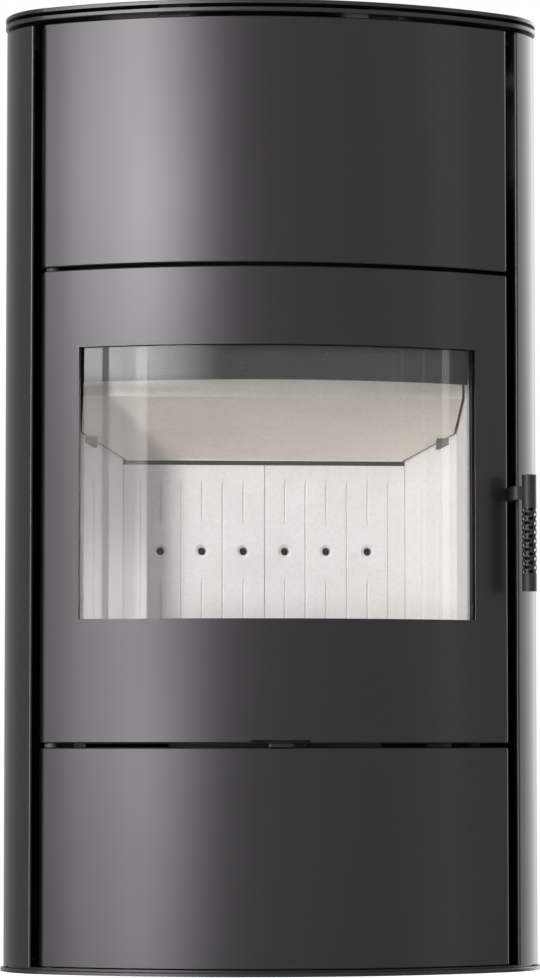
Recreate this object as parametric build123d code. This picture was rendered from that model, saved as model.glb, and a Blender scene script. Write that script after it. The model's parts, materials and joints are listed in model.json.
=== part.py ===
from build123d import *
import os
from math import asin, atan, cos, degrees, hypot, radians, sin, sqrt, tan

# Freestanding steel wood stove with a bowed front.
# Millimetres. X to the right, Y to the back, Z up.
# The origin is on the floor, at the middle of the base plate.

# Plan of the body
BODY_WIDTH = 540.0
BODY_DEPTH = 385.0
FRONT_RADIUS = 445.0
CORNER_RADIUS = 76.0
REAR_CORNER_RADIUS = 22.0
SIDE_TAPER = 7.0
COLUMN_WIDTH = 27.4
GROOVE_WIDTH = 10.0
BASE_OVERHANG = 3.0
TOP_OVERHANG = 1.5
PLINTH_INSET = 5.0

# Heights, from the floor up
BASE_THICKNESS = 4.0
PLINTH_HEIGHT = 2.0
LOWER_DOOR_LIFT = 1.0
LOWER_DOOR_HEIGHT = 216.0
LEVER_GAP = 5.0
FIRE_DOOR_HEIGHT = 470.0
PANEL_GAP = 4.0
UPPER_PANEL_HEIGHT = 245.5
NECK_GAP = 4.5
TOP_PLATE_THICKNESS = 4.0
PLATE_GAP = 4.0
PLATE_EDGE_BREAK = 0.8
FLUE_STAND = 14.0

# Folded front panels
PANEL_SKIN = 3.0
PANEL_FLANGE = 25.0
FLANGE_LEAN = 5.5
PANEL_RETURN = 25.0
PANEL_BEND = 4.0
PANEL_EDGE_BREAK = 0.9

# Side panels
SIDE_SHEET = 2.0
SIDE_FLANGE = 28.0
SIDE_RETURN = 25.0
SIDE_BEND = 2.0
REAR_WRAP = 70.0

# Window and the layers behind it, as depths behind the front arc
WINDOW_MARGIN = 34.6
WINDOW_SILL = 122.0
WINDOW_HEAD = 77.5
GASKET_THICKNESS = 3.0
GASKET_LAP = 1.5
GLASS_THICKNESS = 4.0
GLASS_LAP_SIDE = 7.0
GLASS_LAP_BOTTOM = 10.0
GLASS_LAP_TOP = 11.5
CLIP_THICKNESS = 2.0
CLIP_WIDTH = 30.0
CLIP_LAP = 6.0
CLIP_ANGLES = (-20.0, 0.0, 20.0)
CLIP_STUD_RADIUS = 3.0
CLIP_NUT_RADIUS = 5.5
CLIP_NUT_HEIGHT = 4.0
FLAT_SEAT = 0.05
CURVE_SEAT = 0.15
INNER_FRAME_INSET = 20.6
INNER_FRAME_WALL = 5.0
INNER_FRAME_DEPTH = 25.0
INNER_FRAME_LIP = 3.0
INNER_FRAME_DROP = 35.0
INNER_FRAME_RISE = 34.5
ROPE_WIDTH = 10.0
ROPE_THICKNESS = 10.7
ROPE_REST_GAP = 0.3
ROPE_ROUND = 3.0

# Steel firebox
FRONT_PLATE_THICKNESS = 4.0
OPENING_INSET = 1.0
OPENING_DROP = 18.0
OPENING_RISE = 7.5
STEEL_WALL = 4.0
BOTTOM_THICKNESS = 3.0
FIREBOX_HEIGHT = 530.0
FLOOR_RISE = 77.0
FLOOR_THICKNESS = 4.0
TOP_THICKNESS = 4.0

# Fire bricks
BRICK_THICKNESS = 22.0
BRICK_CLEARANCE = 0.4
CHAMBER_INSET = 2.4
SPLAY_WIDTH = 47.6
BACK_FACE = 228.5
SPLAY_FRONT = 174.0
BACK_BRICK_GAP = 4.7
SIDE_BRICK_RISE = 27.0
BRICK_JOINT = 0.6
GROOVE_COUNT = 6
GROOVE_EDGE_SHARE = 0.8056
GROOVE_MOUTH = 3.0
GROOVE_DEPTH = 1.6
GROOVE_TOP_MARGIN = 12.9
GROOVE_BOTTOM_MARGIN = 13.0
GROOVE_RUNOUT = 9.0
GROOVE_BREAK = 26.0
SPLAY_GROOVE_PITCH = 24.0
AIR_HOLE_DROP = 89.7
AIR_HOLE_RADIUS = 4.25
AIR_HOLE_RIM_RADIUS = 7.25
AIR_HOLE_SINK = 2.4

# Baffles
BAFFLE_THICKNESS = 25.0
BAFFLE_SLOPE = 0.45
BAFFLE_REAR_DROP = 106.6
BAFFLE_FRONT = 105.0
BAFFLE_SIDE_GAP = 2.0
BAFFLE_HEEL = 19.5
BAFFLE_REST_SETBACK = 2.5
BAFFLE_REST_GAP = 0.2
TAB_HEIGHT = 6.5
TAB_LENGTH = 10.0
TAB_REACH = 8.0
TAB_CENTRE = 187.0
UPPER_BAFFLE_THICKNESS = 3.0
UPPER_BAFFLE_LAP = 12.0
UPPER_BAFFLE_REAR = 185.0

# Strip that turns the window air down behind the glass
STRIP_DEPTH = 28.0
STRIP_THICKNESS = 3.0
STRIP_INSET = 4.0
STRIP_DROP = 40.0
AIR_SLOT_WIDTH = 32.0
AIR_SLOT_HEIGHT = 5.0
AIR_SLOT_COUNT = 7
AIR_SLOT_RISE = 9.0
AIR_SLOT_MARGIN = 24.0
WINDOW_DUCT_DEPTH = 30.0
WINDOW_DUCT_INSET = 7.0
WINDOW_DUCT_RISE = 3.0
WINDOW_DUCT_HEIGHT = 69.0
DUCT_SHEET = 2.0

# Grate and ash pan
GRATE_HALF_WIDTH = 110.0
GRATE_FRONT = 100.0
GRATE_BACK = 210.0
GRATE_THICKNESS = 14.0
GRATE_LEDGE = 8.0
GRATE_SLOT_WIDTH = 10.0
GRATE_SLOT_COUNT = 9
GRATE_SLOT_MARGIN = 12.0
GRATE_CLEARANCE = 0.5
PAN_SIDE_MARGIN = 6.0
PAN_HEIGHT = 52.0
PAN_SHEET = 1.5
PAN_CORNER = 10.0
PAN_RIM = 6.0

# Air control
SPACER_HEIGHT = 4.0
SLIDE_CLEARANCE = 0.3
SLIDE_HALF_WIDTH = 90.0
SLIDE_FRONT = 70.0
SLIDE_BACK = 110.0
SLIDE_SLOT_WIDTH = 28.0
SLIDE_SLOT_LENGTH = 24.0
SLIDE_SLOT_PITCH = 60.0
SLIDE_TRAVEL = 15.0
GUIDE_WIDTH = 6.0
LEVER_WIDTH = 24.6
LEVER_TIP_REACH = 2.0
LEVER_TIP_ROUND = 1.2
NOTCH_HALF_WIDTH = 31.0
NOTCH_HEIGHT = 2.8
NOTCH_SLANT = 2.0
VALVE_DUCT_HEIGHT = 24.0
VALVE_DUCT_MARGIN = 2.0
REAR_DUCT_HALF = 62.0
REAR_DUCT_DEPTH = 55.0
REAR_DUCT_BOTTOM = 105.0
INTAKE_HEIGHT = 165.0
INTAKE_RADIUS = 50.25
INTAKE_WALL = 2.0
INTAKE_HOLE_MARGIN = 2.0
BACK_CHANNEL_INSET = 17.0
BACK_CHANNEL_DEPTH = 15.0
BACK_CHANNEL_DROP = 65.0
BACK_CHANNEL_RISE = 20.0
BACK_INLET_WIDTH = 60.0
BACK_INLET_HEIGHT = 20.0
BACK_INLET_DROP = 35.0

# Lower compartment
STORE_INSET = 17.6
STORE_REAR_GAP = 95.0
STORE_SHEET = 2.0
STORE_ROOF = 3.0
CATCH_WIDTH = 16.0
CATCH_LENGTH = 50.0
CATCH_HEIGHT = 12.0
CATCH_GAP = 0.3
STRIKER_SETBACK = 5.04
STRIKER_THICKNESS = 2.0
STRIKER_HEIGHT = 17.0

# Door hinges, on one upright axis
HINGE_INSET = 9.1
HINGE_SETBACK = 7.34
PIN_RADIUS = 4.0
PIN_CLEARANCE = 0.05
PIN_ENGAGEMENT = 9.0
BUSH_RADIUS = 6.4
BUSH_LENGTH = 10.0
HINGE_REST_GAP = 0.3
UPPER_BRACKET_THICKNESS = 2.8
BRACKET_EYE_RADIUS = 7.0
BRACKET_TAIL = 34.0
BRACKET_TAIL_BACK = 135.0

# Latch and handle, on one cross shaft
SHAFT_SETBACK = 15.04
SHAFT_HEIGHT = 477.2
SHAFT_RADIUS = 5.0
SHAFT_CLEARANCE = 0.05
LATCH_BUSH_RADIUS = 8.0
LATCH_BUSH_STAND = 1.7
HOOK_INSET = 18.6
HOOK_THICKNESS = 5.0
HOOK_HUB_RADIUS = 9.0
HOOK_REACH = 14.5
HOOK_NOSE_DROP = 9.0
KEEPER_PIN_RADIUS = 4.0
KEEPER_PIN_WALL = 2.0
KEEPER_SETBACK = 10.5
KEEPER_RISE = 10.0
KEEPER_GAP = 0.4
KEEPER_CHEEK_GAP = 1.5
KEEPER_CHEEK = 3.0
KEEPER_HEIGHT_HALF = 7.0
ARM_THICKNESS = 6.0
ARM_HEIGHT = 13.2
ARM_HUB_RADIUS = 8.0
ARM_BEND = 7.0
GRIP_STAND_OFF = 17.4
GRIP_FORWARD = 35.17
GRIP_RADIUS = 7.3
GRIP_WALL = 1.2
GRIP_DROP = 98.2
GRIP_LENGTH = 116.5
GRIP_HOLE_RADIUS = 2.5
GRIP_HOLE_ROW_PITCH = 4.4
GRIP_HOLE_ROWS = 16
GRIP_HOLE_FIRST = 17.0
GRIP_HOLES_PER_ROW = 4
GRIP_HOLE_SIDES = 6
GRIP_CAP = 4.0

# Rear, top and carriers
RAIL_THICKNESS = 3.0
RAIL_INNER_LAP = 12.0
RAIL_OUTER_LAP = 14.0
REAR_SHEET = 2.0
REAR_PANEL_GAP = 0.4
REAR_RETURN = 17.0
VENT_LENGTH = 90.0
VENT_WIDTH = 7.0
VENT_PITCH_X = 115.0
VENT_PITCH_Z = 20.0
SCREW_HEAD_RADIUS = 4.2
SCREW_HEAD_HEIGHT = 2.2
SCREW_ROWS = 5
PAD_LENGTH = 30.0
PAD_WIDTH = 10.0
PAD_INSET = 13.0
PAD_X = 90.0
PAD_SIDE_X = 150.0
PAD_REAR_SETBACK = 72.5
HANGER_WIDTH = 30.0
HANGER_INSET = 97.6
HANGER_THICKNESS = 3.0
HANGER_RISE = 10.0
BODY_SPACER_WIDTH = 12.0
BODY_SPACER_FRONT = 150.0
BODY_SPACER_BACK = 245.0
FLUE_BEHIND_FRONT = 168.0
FLUE_BORE_RADIUS = 75.5
FLUE_WALL = 3.0
FLUE_SOCKET = 50.0
FLUE_STEP = 3.0
FLUE_HOLE_MARGIN = 2.0

# Places that follow from the sizes above
FRONT_Y = -BODY_DEPTH / 2
REAR_Y = BODY_DEPTH / 2
ARC_Y = FRONT_Y + FRONT_RADIUS
CORNER_X = BODY_WIDTH / 2 - CORNER_RADIUS
CORNER_Y = ARC_Y - sqrt((FRONT_RADIUS - CORNER_RADIUS) ** 2 - CORNER_X ** 2)
COLUMN_EDGE_X = BODY_WIDTH / 2 - COLUMN_WIDTH
PANEL_HALF_WIDTH = COLUMN_EDGE_X - GROOVE_WIDTH
PANEL_EDGE_DEPTH = FRONT_RADIUS - sqrt(FRONT_RADIUS ** 2 - PANEL_HALF_WIDTH ** 2)
REAR_EDGE_X = BODY_WIDTH / 2 - REAR_WRAP
RAIL_INNER_X = REAR_EDGE_X - RAIL_INNER_LAP
RAIL_OUTER_X = REAR_EDGE_X + RAIL_OUTER_LAP
HANGER_X = PANEL_HALF_WIDTH - HANGER_INSET
STORE_HALF_WIDTH = PANEL_HALF_WIDTH - STORE_INSET
STORE_BACK = BODY_DEPTH - STORE_REAR_GAP

WINDOW_HALF_WIDTH = PANEL_HALF_WIDTH - WINDOW_MARGIN
INNER_FRAME_HALF = PANEL_HALF_WIDTH - INNER_FRAME_INSET
OPENING_HALF_WIDTH = WINDOW_HALF_WIDTH - OPENING_INSET
CHAMBER_HALF_WIDTH = OPENING_HALF_WIDTH - CHAMBER_INSET
BACK_BRICK_HALF = CHAMBER_HALF_WIDTH - SPLAY_WIDTH
GROOVE_PITCH = BACK_BRICK_HALF / (GROOVE_COUNT + GROOVE_EDGE_SHARE)
STRIP_HALF_WIDTH = OPENING_HALF_WIDTH - STRIP_INSET
WINDOW_DUCT_HALF = OPENING_HALF_WIDTH - WINDOW_DUCT_INSET
AIR_SLOT_PITCH = 2 * (WINDOW_DUCT_HALF - AIR_SLOT_MARGIN - AIR_SLOT_WIDTH / 2) / (AIR_SLOT_COUNT - 1)
BACK_CHANNEL_HALF = BACK_BRICK_HALF - BACK_CHANNEL_INSET

PLINTH_TOP = BASE_THICKNESS + PLINTH_HEIGHT
LOWER_DOOR_BOTTOM = PLINTH_TOP + LOWER_DOOR_LIFT
LOWER_DOOR_TOP = LOWER_DOOR_BOTTOM + LOWER_DOOR_HEIGHT
FIRE_DOOR_BOTTOM = LOWER_DOOR_TOP + LEVER_GAP
FIRE_DOOR_TOP = FIRE_DOOR_BOTTOM + FIRE_DOOR_HEIGHT
UPPER_PANEL_BOTTOM = FIRE_DOOR_TOP + PANEL_GAP
UPPER_PANEL_TOP = UPPER_PANEL_BOTTOM + UPPER_PANEL_HEIGHT
RIM_BOTTOM = UPPER_PANEL_TOP + NECK_GAP
RIM_TOP = RIM_BOTTOM + TOP_PLATE_THICKNESS
TOP_BOTTOM = RIM_TOP + PLATE_GAP
TOP_TOP = TOP_BOTTOM + TOP_PLATE_THICKNESS

WINDOW_BOTTOM = FIRE_DOOR_BOTTOM + WINDOW_SILL
WINDOW_TOP = FIRE_DOOR_TOP - WINDOW_HEAD
INNER_FRAME_BOTTOM = WINDOW_BOTTOM - INNER_FRAME_DROP
INNER_FRAME_TOP = WINDOW_TOP + INNER_FRAME_RISE
OPENING_BOTTOM = WINDOW_BOTTOM - OPENING_DROP
OPENING_TOP = WINDOW_TOP + OPENING_RISE
FLOOR_HEIGHT = FIRE_DOOR_BOTTOM + FLOOR_RISE
SIDE_BRICK_TOP = OPENING_TOP + SIDE_BRICK_RISE
BAFFLE_REAR_HEIGHT = OPENING_TOP - BAFFLE_REAR_DROP
BACK_BRICK_TOP = BAFFLE_REAR_HEIGHT - BACK_BRICK_GAP
AIR_HOLE_HEIGHT = BACK_BRICK_TOP - AIR_HOLE_DROP
STRIP_BOTTOM = OPENING_TOP - STRIP_DROP
AIR_SLOT_Z = OPENING_TOP + AIR_SLOT_RISE
WINDOW_DUCT_BOTTOM = OPENING_TOP + WINDOW_DUCT_RISE
WINDOW_DUCT_TOP = WINDOW_DUCT_BOTTOM + WINDOW_DUCT_HEIGHT
BACK_CHANNEL_BOTTOM = FLOOR_HEIGHT - BACK_CHANNEL_DROP
BACK_CHANNEL_TOP = AIR_HOLE_HEIGHT + BACK_CHANNEL_RISE
BACK_INLET_Z = FLOOR_HEIGHT - BACK_INLET_DROP
HANGER_HEIGHT = UPPER_PANEL_BOTTOM + HANGER_RISE

SPACER_BOTTOM = LOWER_DOOR_TOP + (LEVER_GAP - SPACER_HEIGHT) * 0.4
SPACER_TOP = SPACER_BOTTOM + SPACER_HEIGHT
FIREBOX_BOTTOM = SPACER_TOP + BOTTOM_THICKNESS
FIREBOX_TOP = FIREBOX_BOTTOM + FIREBOX_HEIGHT
FLOOR_TOP = FLOOR_HEIGHT + FLOOR_THICKNESS
BRICK_FLOOR_TOP = FLOOR_TOP + BRICK_THICKNESS

GASKET_DEPTH = PANEL_SKIN + CURVE_SEAT
GLASS_DEPTH = PANEL_SKIN + GASKET_THICKNESS
CLIP_DEPTH = GLASS_DEPTH + GLASS_THICKNESS
GLASS_HALF_WIDTH = WINDOW_HALF_WIDTH + GLASS_LAP_SIDE
GLASS_BOTTOM = WINDOW_BOTTOM - GLASS_LAP_BOTTOM
GLASS_TOP = WINDOW_TOP + GLASS_LAP_TOP
FRONT_PLATE_DEPTH = INNER_FRAME_DEPTH + ROPE_THICKNESS + ROPE_REST_GAP
FIREBOX_DEPTH = FRONT_PLATE_DEPTH + FRONT_PLATE_THICKNESS
LATCH_Y = FRONT_Y + PANEL_EDGE_DEPTH + SHAFT_SETBACK
LATCH_BUSH_END = PANEL_HALF_WIDTH + LATCH_BUSH_STAND
HOOK_START = PANEL_HALF_WIDTH - HOOK_INSET
KEEPER_Y = LATCH_Y + KEEPER_SETBACK
KEEPER_HEIGHT = SHAFT_HEIGHT + KEEPER_RISE
KEEPER_CHEEK_X = HOOK_START - KEEPER_CHEEK_GAP - KEEPER_CHEEK
HINGE_X = HINGE_INSET - PANEL_HALF_WIDTH
HINGE_Y = FRONT_Y + PANEL_EDGE_DEPTH + HINGE_SETBACK
ARM_START = LATCH_BUSH_END + HINGE_REST_GAP
GRIP_X = ARM_START + GRIP_STAND_OFF
GRIP_Y = LATCH_Y - GRIP_FORWARD
GRIP_BOTTOM = SHAFT_HEIGHT - GRIP_DROP
STRIKER_FRONT = PANEL_EDGE_DEPTH + STRIKER_SETBACK
FLUE_Y = FRONT_Y + FLUE_BEHIND_FRONT
SHELL_GAP = BRICK_THICKNESS + BRICK_CLEARANCE
SHELL_OUTER = SHELL_GAP + STEEL_WALL


def block(x0, x1, y0, y1, z0, z1):
    """A box between six planes."""
    return Pos((x0 + x1) / 2, (y0 + y1) / 2, (z0 + z1) / 2) * Box(x1 - x0, y1 - y0, z1 - z0)


def rise(plan, z0, z1):
    """A flat plan drawn up from one height to another."""
    return Pos(0, 0, z0) * extrude(plan, amount=z1 - z0)


def rect(x0, x1, y0, y1):
    """A rectangle in the plan."""
    return Pos((x0 + x1) / 2, (y0 + y1) / 2) * Rectangle(x1 - x0, y1 - y0)


def both_sides(part):
    """A part and its mirror image."""
    return part + mirror(part, about=Plane.YZ)


def upright(radius, x, y, z0, z1):
    """A round bar along Z."""
    return Pos(x, y, (z0 + z1) / 2) * Cylinder(radius, z1 - z0)


def crosswise(radius, x0, x1, y, z):
    """A round bar along X."""
    return Pos((x0 + x1) / 2, y, z) * Rot(0, 90, 0) * Cylinder(radius, x1 - x0)


def lengthwise(radius, y0, y1, x, z):
    """A round bar along Y."""
    return Pos(x, (y0 + y1) / 2, z) * Rot(90, 0, 0) * Cylinder(radius, y1 - y0)


def behind(distance):
    """The Y of a plane that far behind the foremost point of the front."""
    return FRONT_Y + distance


def arc_y(depth, x):
    """The Y of the curved surface that lies that deep behind the front arc."""
    return ARC_Y - sqrt((FRONT_RADIUS - depth) ** 2 - x ** 2)


def front_disc(depth):
    """All the plan inside the arc that lies that deep behind the front."""
    return Pos(0, ARC_Y) * Circle(FRONT_RADIUS - depth)


def arc_strip(outer_depth, inner_depth, x0, x1):
    """Plan of a curved plate that is concentric with the front."""
    ring = front_disc(outer_depth) - front_disc(inner_depth)
    return ring & rect(x0, x1, FRONT_Y - BASE_OVERHANG, ARC_Y)


def arc_plate(outer_depth, inner_depth, x0, x1, z0, z1):
    """A curved plate that is concentric with the front."""
    return rise(arc_strip(outer_depth, inner_depth, x0, x1), z0, z1)


def at_front(angle, depth, height):
    """A place on a curved surface behind the front, its local Z pointing to the middle of the arc."""
    radius = FRONT_RADIUS - depth
    x = radius * sin(radians(angle))
    y = ARC_Y - radius * cos(radians(angle))
    return Pos(x, y, height) * Rot(0, 0, angle) * Rot(-90, 0, 0)


def bar_at_front(radius, angle, depth_from, depth_to, height):
    """A round bar that runs square through the curved layers behind the front."""
    middle = (depth_from + depth_to) / 2
    return at_front(angle, middle, height) * Cylinder(radius, depth_to - depth_from)


def body_outline(inset):
    """Plan of the body with its whole edge moved in, or out for a negative inset."""
    front_r = FRONT_RADIUS - inset
    corner_r = CORNER_RADIUS - inset
    rear_r = max(REAR_CORNER_RADIUS - inset, 1.0)
    taper = radians(SIDE_TAPER)
    joint = asin(CORNER_X / (FRONT_RADIUS - CORNER_RADIUS))
    rear_cy = REAR_Y - inset - rear_r
    rear_cx = CORNER_X + (sin(taper) * (CORNER_Y - rear_cy) + corner_r - rear_r) / cos(taper)

    def from_corner(angle):
        return CORNER_X + corner_r * cos(angle), CORNER_Y + corner_r * sin(angle)

    def from_rear(angle):
        return rear_cx + rear_r * cos(angle), rear_cy + rear_r * sin(angle)

    corner_start = joint - radians(90)
    a = from_corner(corner_start)
    a_mid = from_corner((corner_start + taper) / 2)
    b = from_corner(taper)
    c = from_rear(taper)
    c_mid = from_rear((taper + radians(90)) / 2)
    d = from_rear(radians(90))

    def flip(point):
        return -point[0], point[1]

    edges = [
        ThreePointArc(flip(a), (0, ARC_Y - front_r), a),
        ThreePointArc(a, a_mid, b),
        Line(b, c),
        ThreePointArc(c, c_mid, d),
        Line(d, flip(d)),
        ThreePointArc(flip(d), flip(c_mid), flip(c)),
        Line(flip(c), flip(b)),
        ThreePointArc(flip(b), flip(a_mid), flip(a)),
    ]
    return make_face(edges)


def chamber_plan(offset):
    """Plan of the brick-lined chamber, its three back walls moved out by the offset."""
    half = CHAMBER_HALF_WIDTH + offset
    back = behind(BACK_FACE) + offset
    drop = BACK_FACE - SPLAY_FRONT
    nx = drop / hypot(SPLAY_WIDTH, drop)
    ny = SPLAY_WIDTH / hypot(SPLAY_WIDTH, drop)
    reach = nx * BACK_BRICK_HALF + ny * behind(BACK_FACE) + offset
    splay_y = (reach - nx * half) / ny
    splay_x = (reach - ny * back) / nx
    points = [
        (-half, FRONT_Y),
        (half, FRONT_Y),
        (half, splay_y),
        (splay_x, back),
        (-splay_x, back),
        (-half, splay_y),
    ]
    return make_face(Polyline(*points, close=True))


def steel_plan(offset, depth):
    """Chamber plan closed at the front by a curved surface."""
    return chamber_plan(offset) & front_disc(depth)


def tray_outline():
    """Outer plan of a folded front panel, over its side flanges."""
    corner_y = arc_y(0, PANEL_HALF_WIDTH)
    lean = radians(FLANGE_LEAN)
    end_x = PANEL_HALF_WIDTH + PANEL_FLANGE * sin(lean)
    end_y = corner_y + PANEL_FLANGE * cos(lean)
    edges = [
        ThreePointArc((-PANEL_HALF_WIDTH, corner_y), (0, FRONT_Y), (PANEL_HALF_WIDTH, corner_y)),
        Line((PANEL_HALF_WIDTH, corner_y), (end_x, end_y)),
        Line((end_x, end_y), (-end_x, end_y)),
        Line((-end_x, end_y), (-PANEL_HALF_WIDTH, corner_y)),
    ]
    outline = make_face(edges)
    return fillet(outline.vertices().sort_by(Axis.Y)[:2], PANEL_BEND)


def tray_hollow():
    """Plan of the space inside a folded front panel."""
    corner_y = arc_y(0, PANEL_HALF_WIDTH)
    lean = radians(FLANGE_LEAN)
    inner_x = PANEL_HALF_WIDTH - PANEL_SKIN * cos(lean)
    inner_y = corner_y + PANEL_SKIN * sin(lean)
    back = 2 * PANEL_FLANGE
    front = -4 * PANEL_FLANGE
    right = [
        (inner_x + front * sin(lean), inner_y + front * cos(lean)),
        (inner_x + back * sin(lean), inner_y + back * cos(lean)),
    ]
    left = [(-right[1][0], right[1][1]), (-right[0][0], right[0][1])]
    wedge = make_face(Polyline(*right, *left, close=True))
    return wedge & front_disc(PANEL_SKIN)


def front_tray(z0, z1):
    """A front panel folded from one sheet: bowed skin, side flanges, top and bottom returns."""
    outline = tray_outline()
    hollow = tray_hollow()
    shell = rise(outline, z0, z1)
    front_limit = arc_y(0, PANEL_HALF_WIDTH) + 2
    edges = shell.edges().filter_by(Plane.XY).filter_by(lambda e: e.center().Y < front_limit)
    shell = chamfer(edges, PANEL_EDGE_BREAK)
    shell -= rise(hollow, z0 + PANEL_SKIN, z1 - PANEL_SKIN)
    behind_returns = rise(hollow & front_disc(PANEL_RETURN), z0 - 1, z1 + 1)
    return shell - behind_returns


def hinge_holes(z0, z1):
    """Holes for the two hinge bushes of a door."""
    return upright(BUSH_RADIUS, HINGE_X, HINGE_Y, z0 - 1, z1 + 1)


def make_base_plate():
    """Base plate with the set-back step that makes the shadow line under the body."""
    plate = rise(body_outline(-BASE_OVERHANG), 0, BASE_THICKNESS)
    plate = chamfer(plate.edges().group_by(Axis.Z)[-1], PLATE_EDGE_BREAK)
    return plate + rise(body_outline(PLINTH_INSET), BASE_THICKNESS, PLINTH_TOP)


def side_zone(inset):
    """Plan of everything that a right side panel may cover."""
    front = rect(COLUMN_EDGE_X, BODY_WIDTH, FRONT_Y, CORNER_Y + CORNER_RADIUS)
    rear = rect(REAR_EDGE_X, BODY_WIDTH, CORNER_Y + CORNER_RADIUS, REAR_Y)
    return body_outline(inset) & (front + rear)


def make_side_panel():
    """Right side panel: front column, tapered side and rear corner from one sheet."""
    flange_end = arc_y(0, PANEL_HALF_WIDTH) + SIDE_FLANGE + PANEL_BEND
    flange = rect(COLUMN_EDGE_X, COLUMN_EDGE_X + SIDE_SHEET, FRONT_Y, flange_end) & body_outline(0)
    wall = (side_zone(0) - body_outline(SIDE_SHEET)) + flange
    edge = wall.vertices().filter_by(lambda v: v.X < COLUMN_EDGE_X + 0.1).sort_by(Axis.Y)[0]
    wall = fillet(edge, SIDE_BEND)
    ledge = side_zone(SIDE_SHEET / 2) - body_outline(SIDE_RETURN)
    ledge -= rect(0, COLUMN_EDGE_X + SIDE_SHEET / 2, FRONT_Y, 0)
    panel = rise(wall, PLINTH_TOP, UPPER_PANEL_TOP)
    panel += rise(ledge, PLINTH_TOP, PLINTH_TOP + SIDE_SHEET)
    panel += rise(ledge, UPPER_PANEL_TOP - SIDE_SHEET, UPPER_PANEL_TOP)
    return panel


def make_rear_panel():
    """Flush rear panel with its top return, convection slots and intake hole."""
    half = REAR_EDGE_X - REAR_PANEL_GAP
    top = UPPER_PANEL_TOP
    panel = block(-half, half, REAR_Y - REAR_SHEET, REAR_Y, PLINTH_TOP, top)
    ledge_half = RAIL_INNER_X - 1
    panel += block(-ledge_half, ledge_half, REAR_Y - REAR_RETURN, REAR_Y - REAR_SHEET, top - REAR_SHEET, top)
    slot = Box(VENT_LENGTH, 4 * REAR_SHEET, VENT_WIDTH)
    for column in (-1, 0, 1):
        for row in range(4):
            z = top - 2 * VENT_PITCH_Z - row * VENT_PITCH_Z
            panel -= Pos(column * VENT_PITCH_X, REAR_Y, z) * slot
        for row in range(2):
            z = PLINTH_TOP + 2 * VENT_PITCH_Z + row * VENT_PITCH_Z
            panel -= Pos(column * VENT_PITCH_X, REAR_Y, z) * slot
    hole = INTAKE_RADIUS + INTAKE_WALL + INTAKE_HOLE_MARGIN
    return panel - lengthwise(hole, REAR_Y - 2 * REAR_SHEET, REAR_Y + 1, 0, INTAKE_HEIGHT)


def make_rear_rails():
    """Upright strips behind the joints of the rear panel and the side panels."""
    y1 = REAR_Y - REAR_SHEET
    y0 = y1 - RAIL_THICKNESS
    z0 = PLINTH_TOP + SIDE_SHEET
    z1 = UPPER_PANEL_TOP - SIDE_SHEET
    return both_sides(block(RAIL_INNER_X, RAIL_OUTER_X, y0, y1, z0, z1))


def make_rear_screws():
    """Hexagon sheet-metal screws that hold the rear panel on its rails."""
    x = (RAIL_INNER_X + REAR_EDGE_X) / 2
    z0 = PLINTH_TOP + 4 * SCREW_HEAD_RADIUS
    step = (UPPER_PANEL_TOP - PLINTH_TOP - 8 * SCREW_HEAD_RADIUS) / (SCREW_ROWS - 1)
    screws = []
    for row in range(SCREW_ROWS):
        place = Pos(x, REAR_Y, z0 + row * step) * Rot(-90, 0, 0)
        screw = place * extrude(RegularPolygon(SCREW_HEAD_RADIUS, 6), amount=SCREW_HEAD_HEIGHT)
        screws += [screw, mirror(screw, about=Plane.YZ)]
    return screws


def make_upper_front_panel():
    return front_tray(UPPER_PANEL_BOTTOM, UPPER_PANEL_TOP)


def make_panel_hangers():
    """Curved ledges that carry the upper front panel on the firebox."""
    z1 = HANGER_HEIGHT + HANGER_THICKNESS
    x1 = HANGER_X + HANGER_WIDTH
    return both_sides(arc_plate(PANEL_SKIN, FRONT_PLATE_DEPTH, HANGER_X, x1, HANGER_HEIGHT, z1))


def make_plate_pads(z0, z1):
    """Small blocks that keep the shadow gap under a top plate."""
    front = rect(PAD_X, PAD_X + PAD_LENGTH, FRONT_Y, 0)
    side = rect(PAD_SIDE_X, BODY_WIDTH, CORNER_Y, CORNER_Y + PAD_LENGTH)
    side_rear_y = REAR_Y - PAD_REAR_SETBACK
    side_rear = rect(PAD_SIDE_X, BODY_WIDTH, side_rear_y, side_rear_y + PAD_LENGTH)
    rear_y1 = REAR_Y - REAR_SHEET
    rear = rect(PAD_X, PAD_X + PAD_LENGTH, rear_y1 - PAD_WIDTH, rear_y1)
    ring = body_outline(PAD_INSET) - body_outline(PAD_INSET + PAD_WIDTH)
    right = (ring & (front + side + side_rear)) + rear
    return both_sides(rise(right, z0, z1))


def flue_hole():
    radius = FLUE_BORE_RADIUS + FLUE_WALL + FLUE_HOLE_MARGIN
    return upright(radius, 0, FLUE_Y, RIM_BOTTOM - 1, TOP_TOP + 1)


def make_rim_plate():
    plate = rise(body_outline(-TOP_OVERHANG), RIM_BOTTOM, RIM_TOP)
    return chamfer(plate.edges().group_by(Axis.Z)[0], PLATE_EDGE_BREAK) - flue_hole()


def make_top_plate():
    plate = rise(body_outline(-TOP_OVERHANG), TOP_BOTTOM, TOP_TOP)
    return chamfer(plate.edges().group_by(Axis.Z)[-1], PLATE_EDGE_BREAK) - flue_hole()


def make_flue_collar():
    """Flue tube with a socket for the pipe and a step that the pipe stands on."""
    outer = FLUE_BORE_RADIUS + FLUE_WALL
    top = TOP_TOP + FLUE_STAND
    socket_floor = top - FLUE_SOCKET
    tube = upright(outer, 0, FLUE_Y, FIREBOX_TOP, top)
    tube -= upright(FLUE_BORE_RADIUS, 0, FLUE_Y, socket_floor, top + 1)
    tube -= upright(FLUE_BORE_RADIUS - FLUE_STEP, 0, FLUE_Y, FIREBOX_TOP - 1, socket_floor + 1)
    return tube


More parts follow.
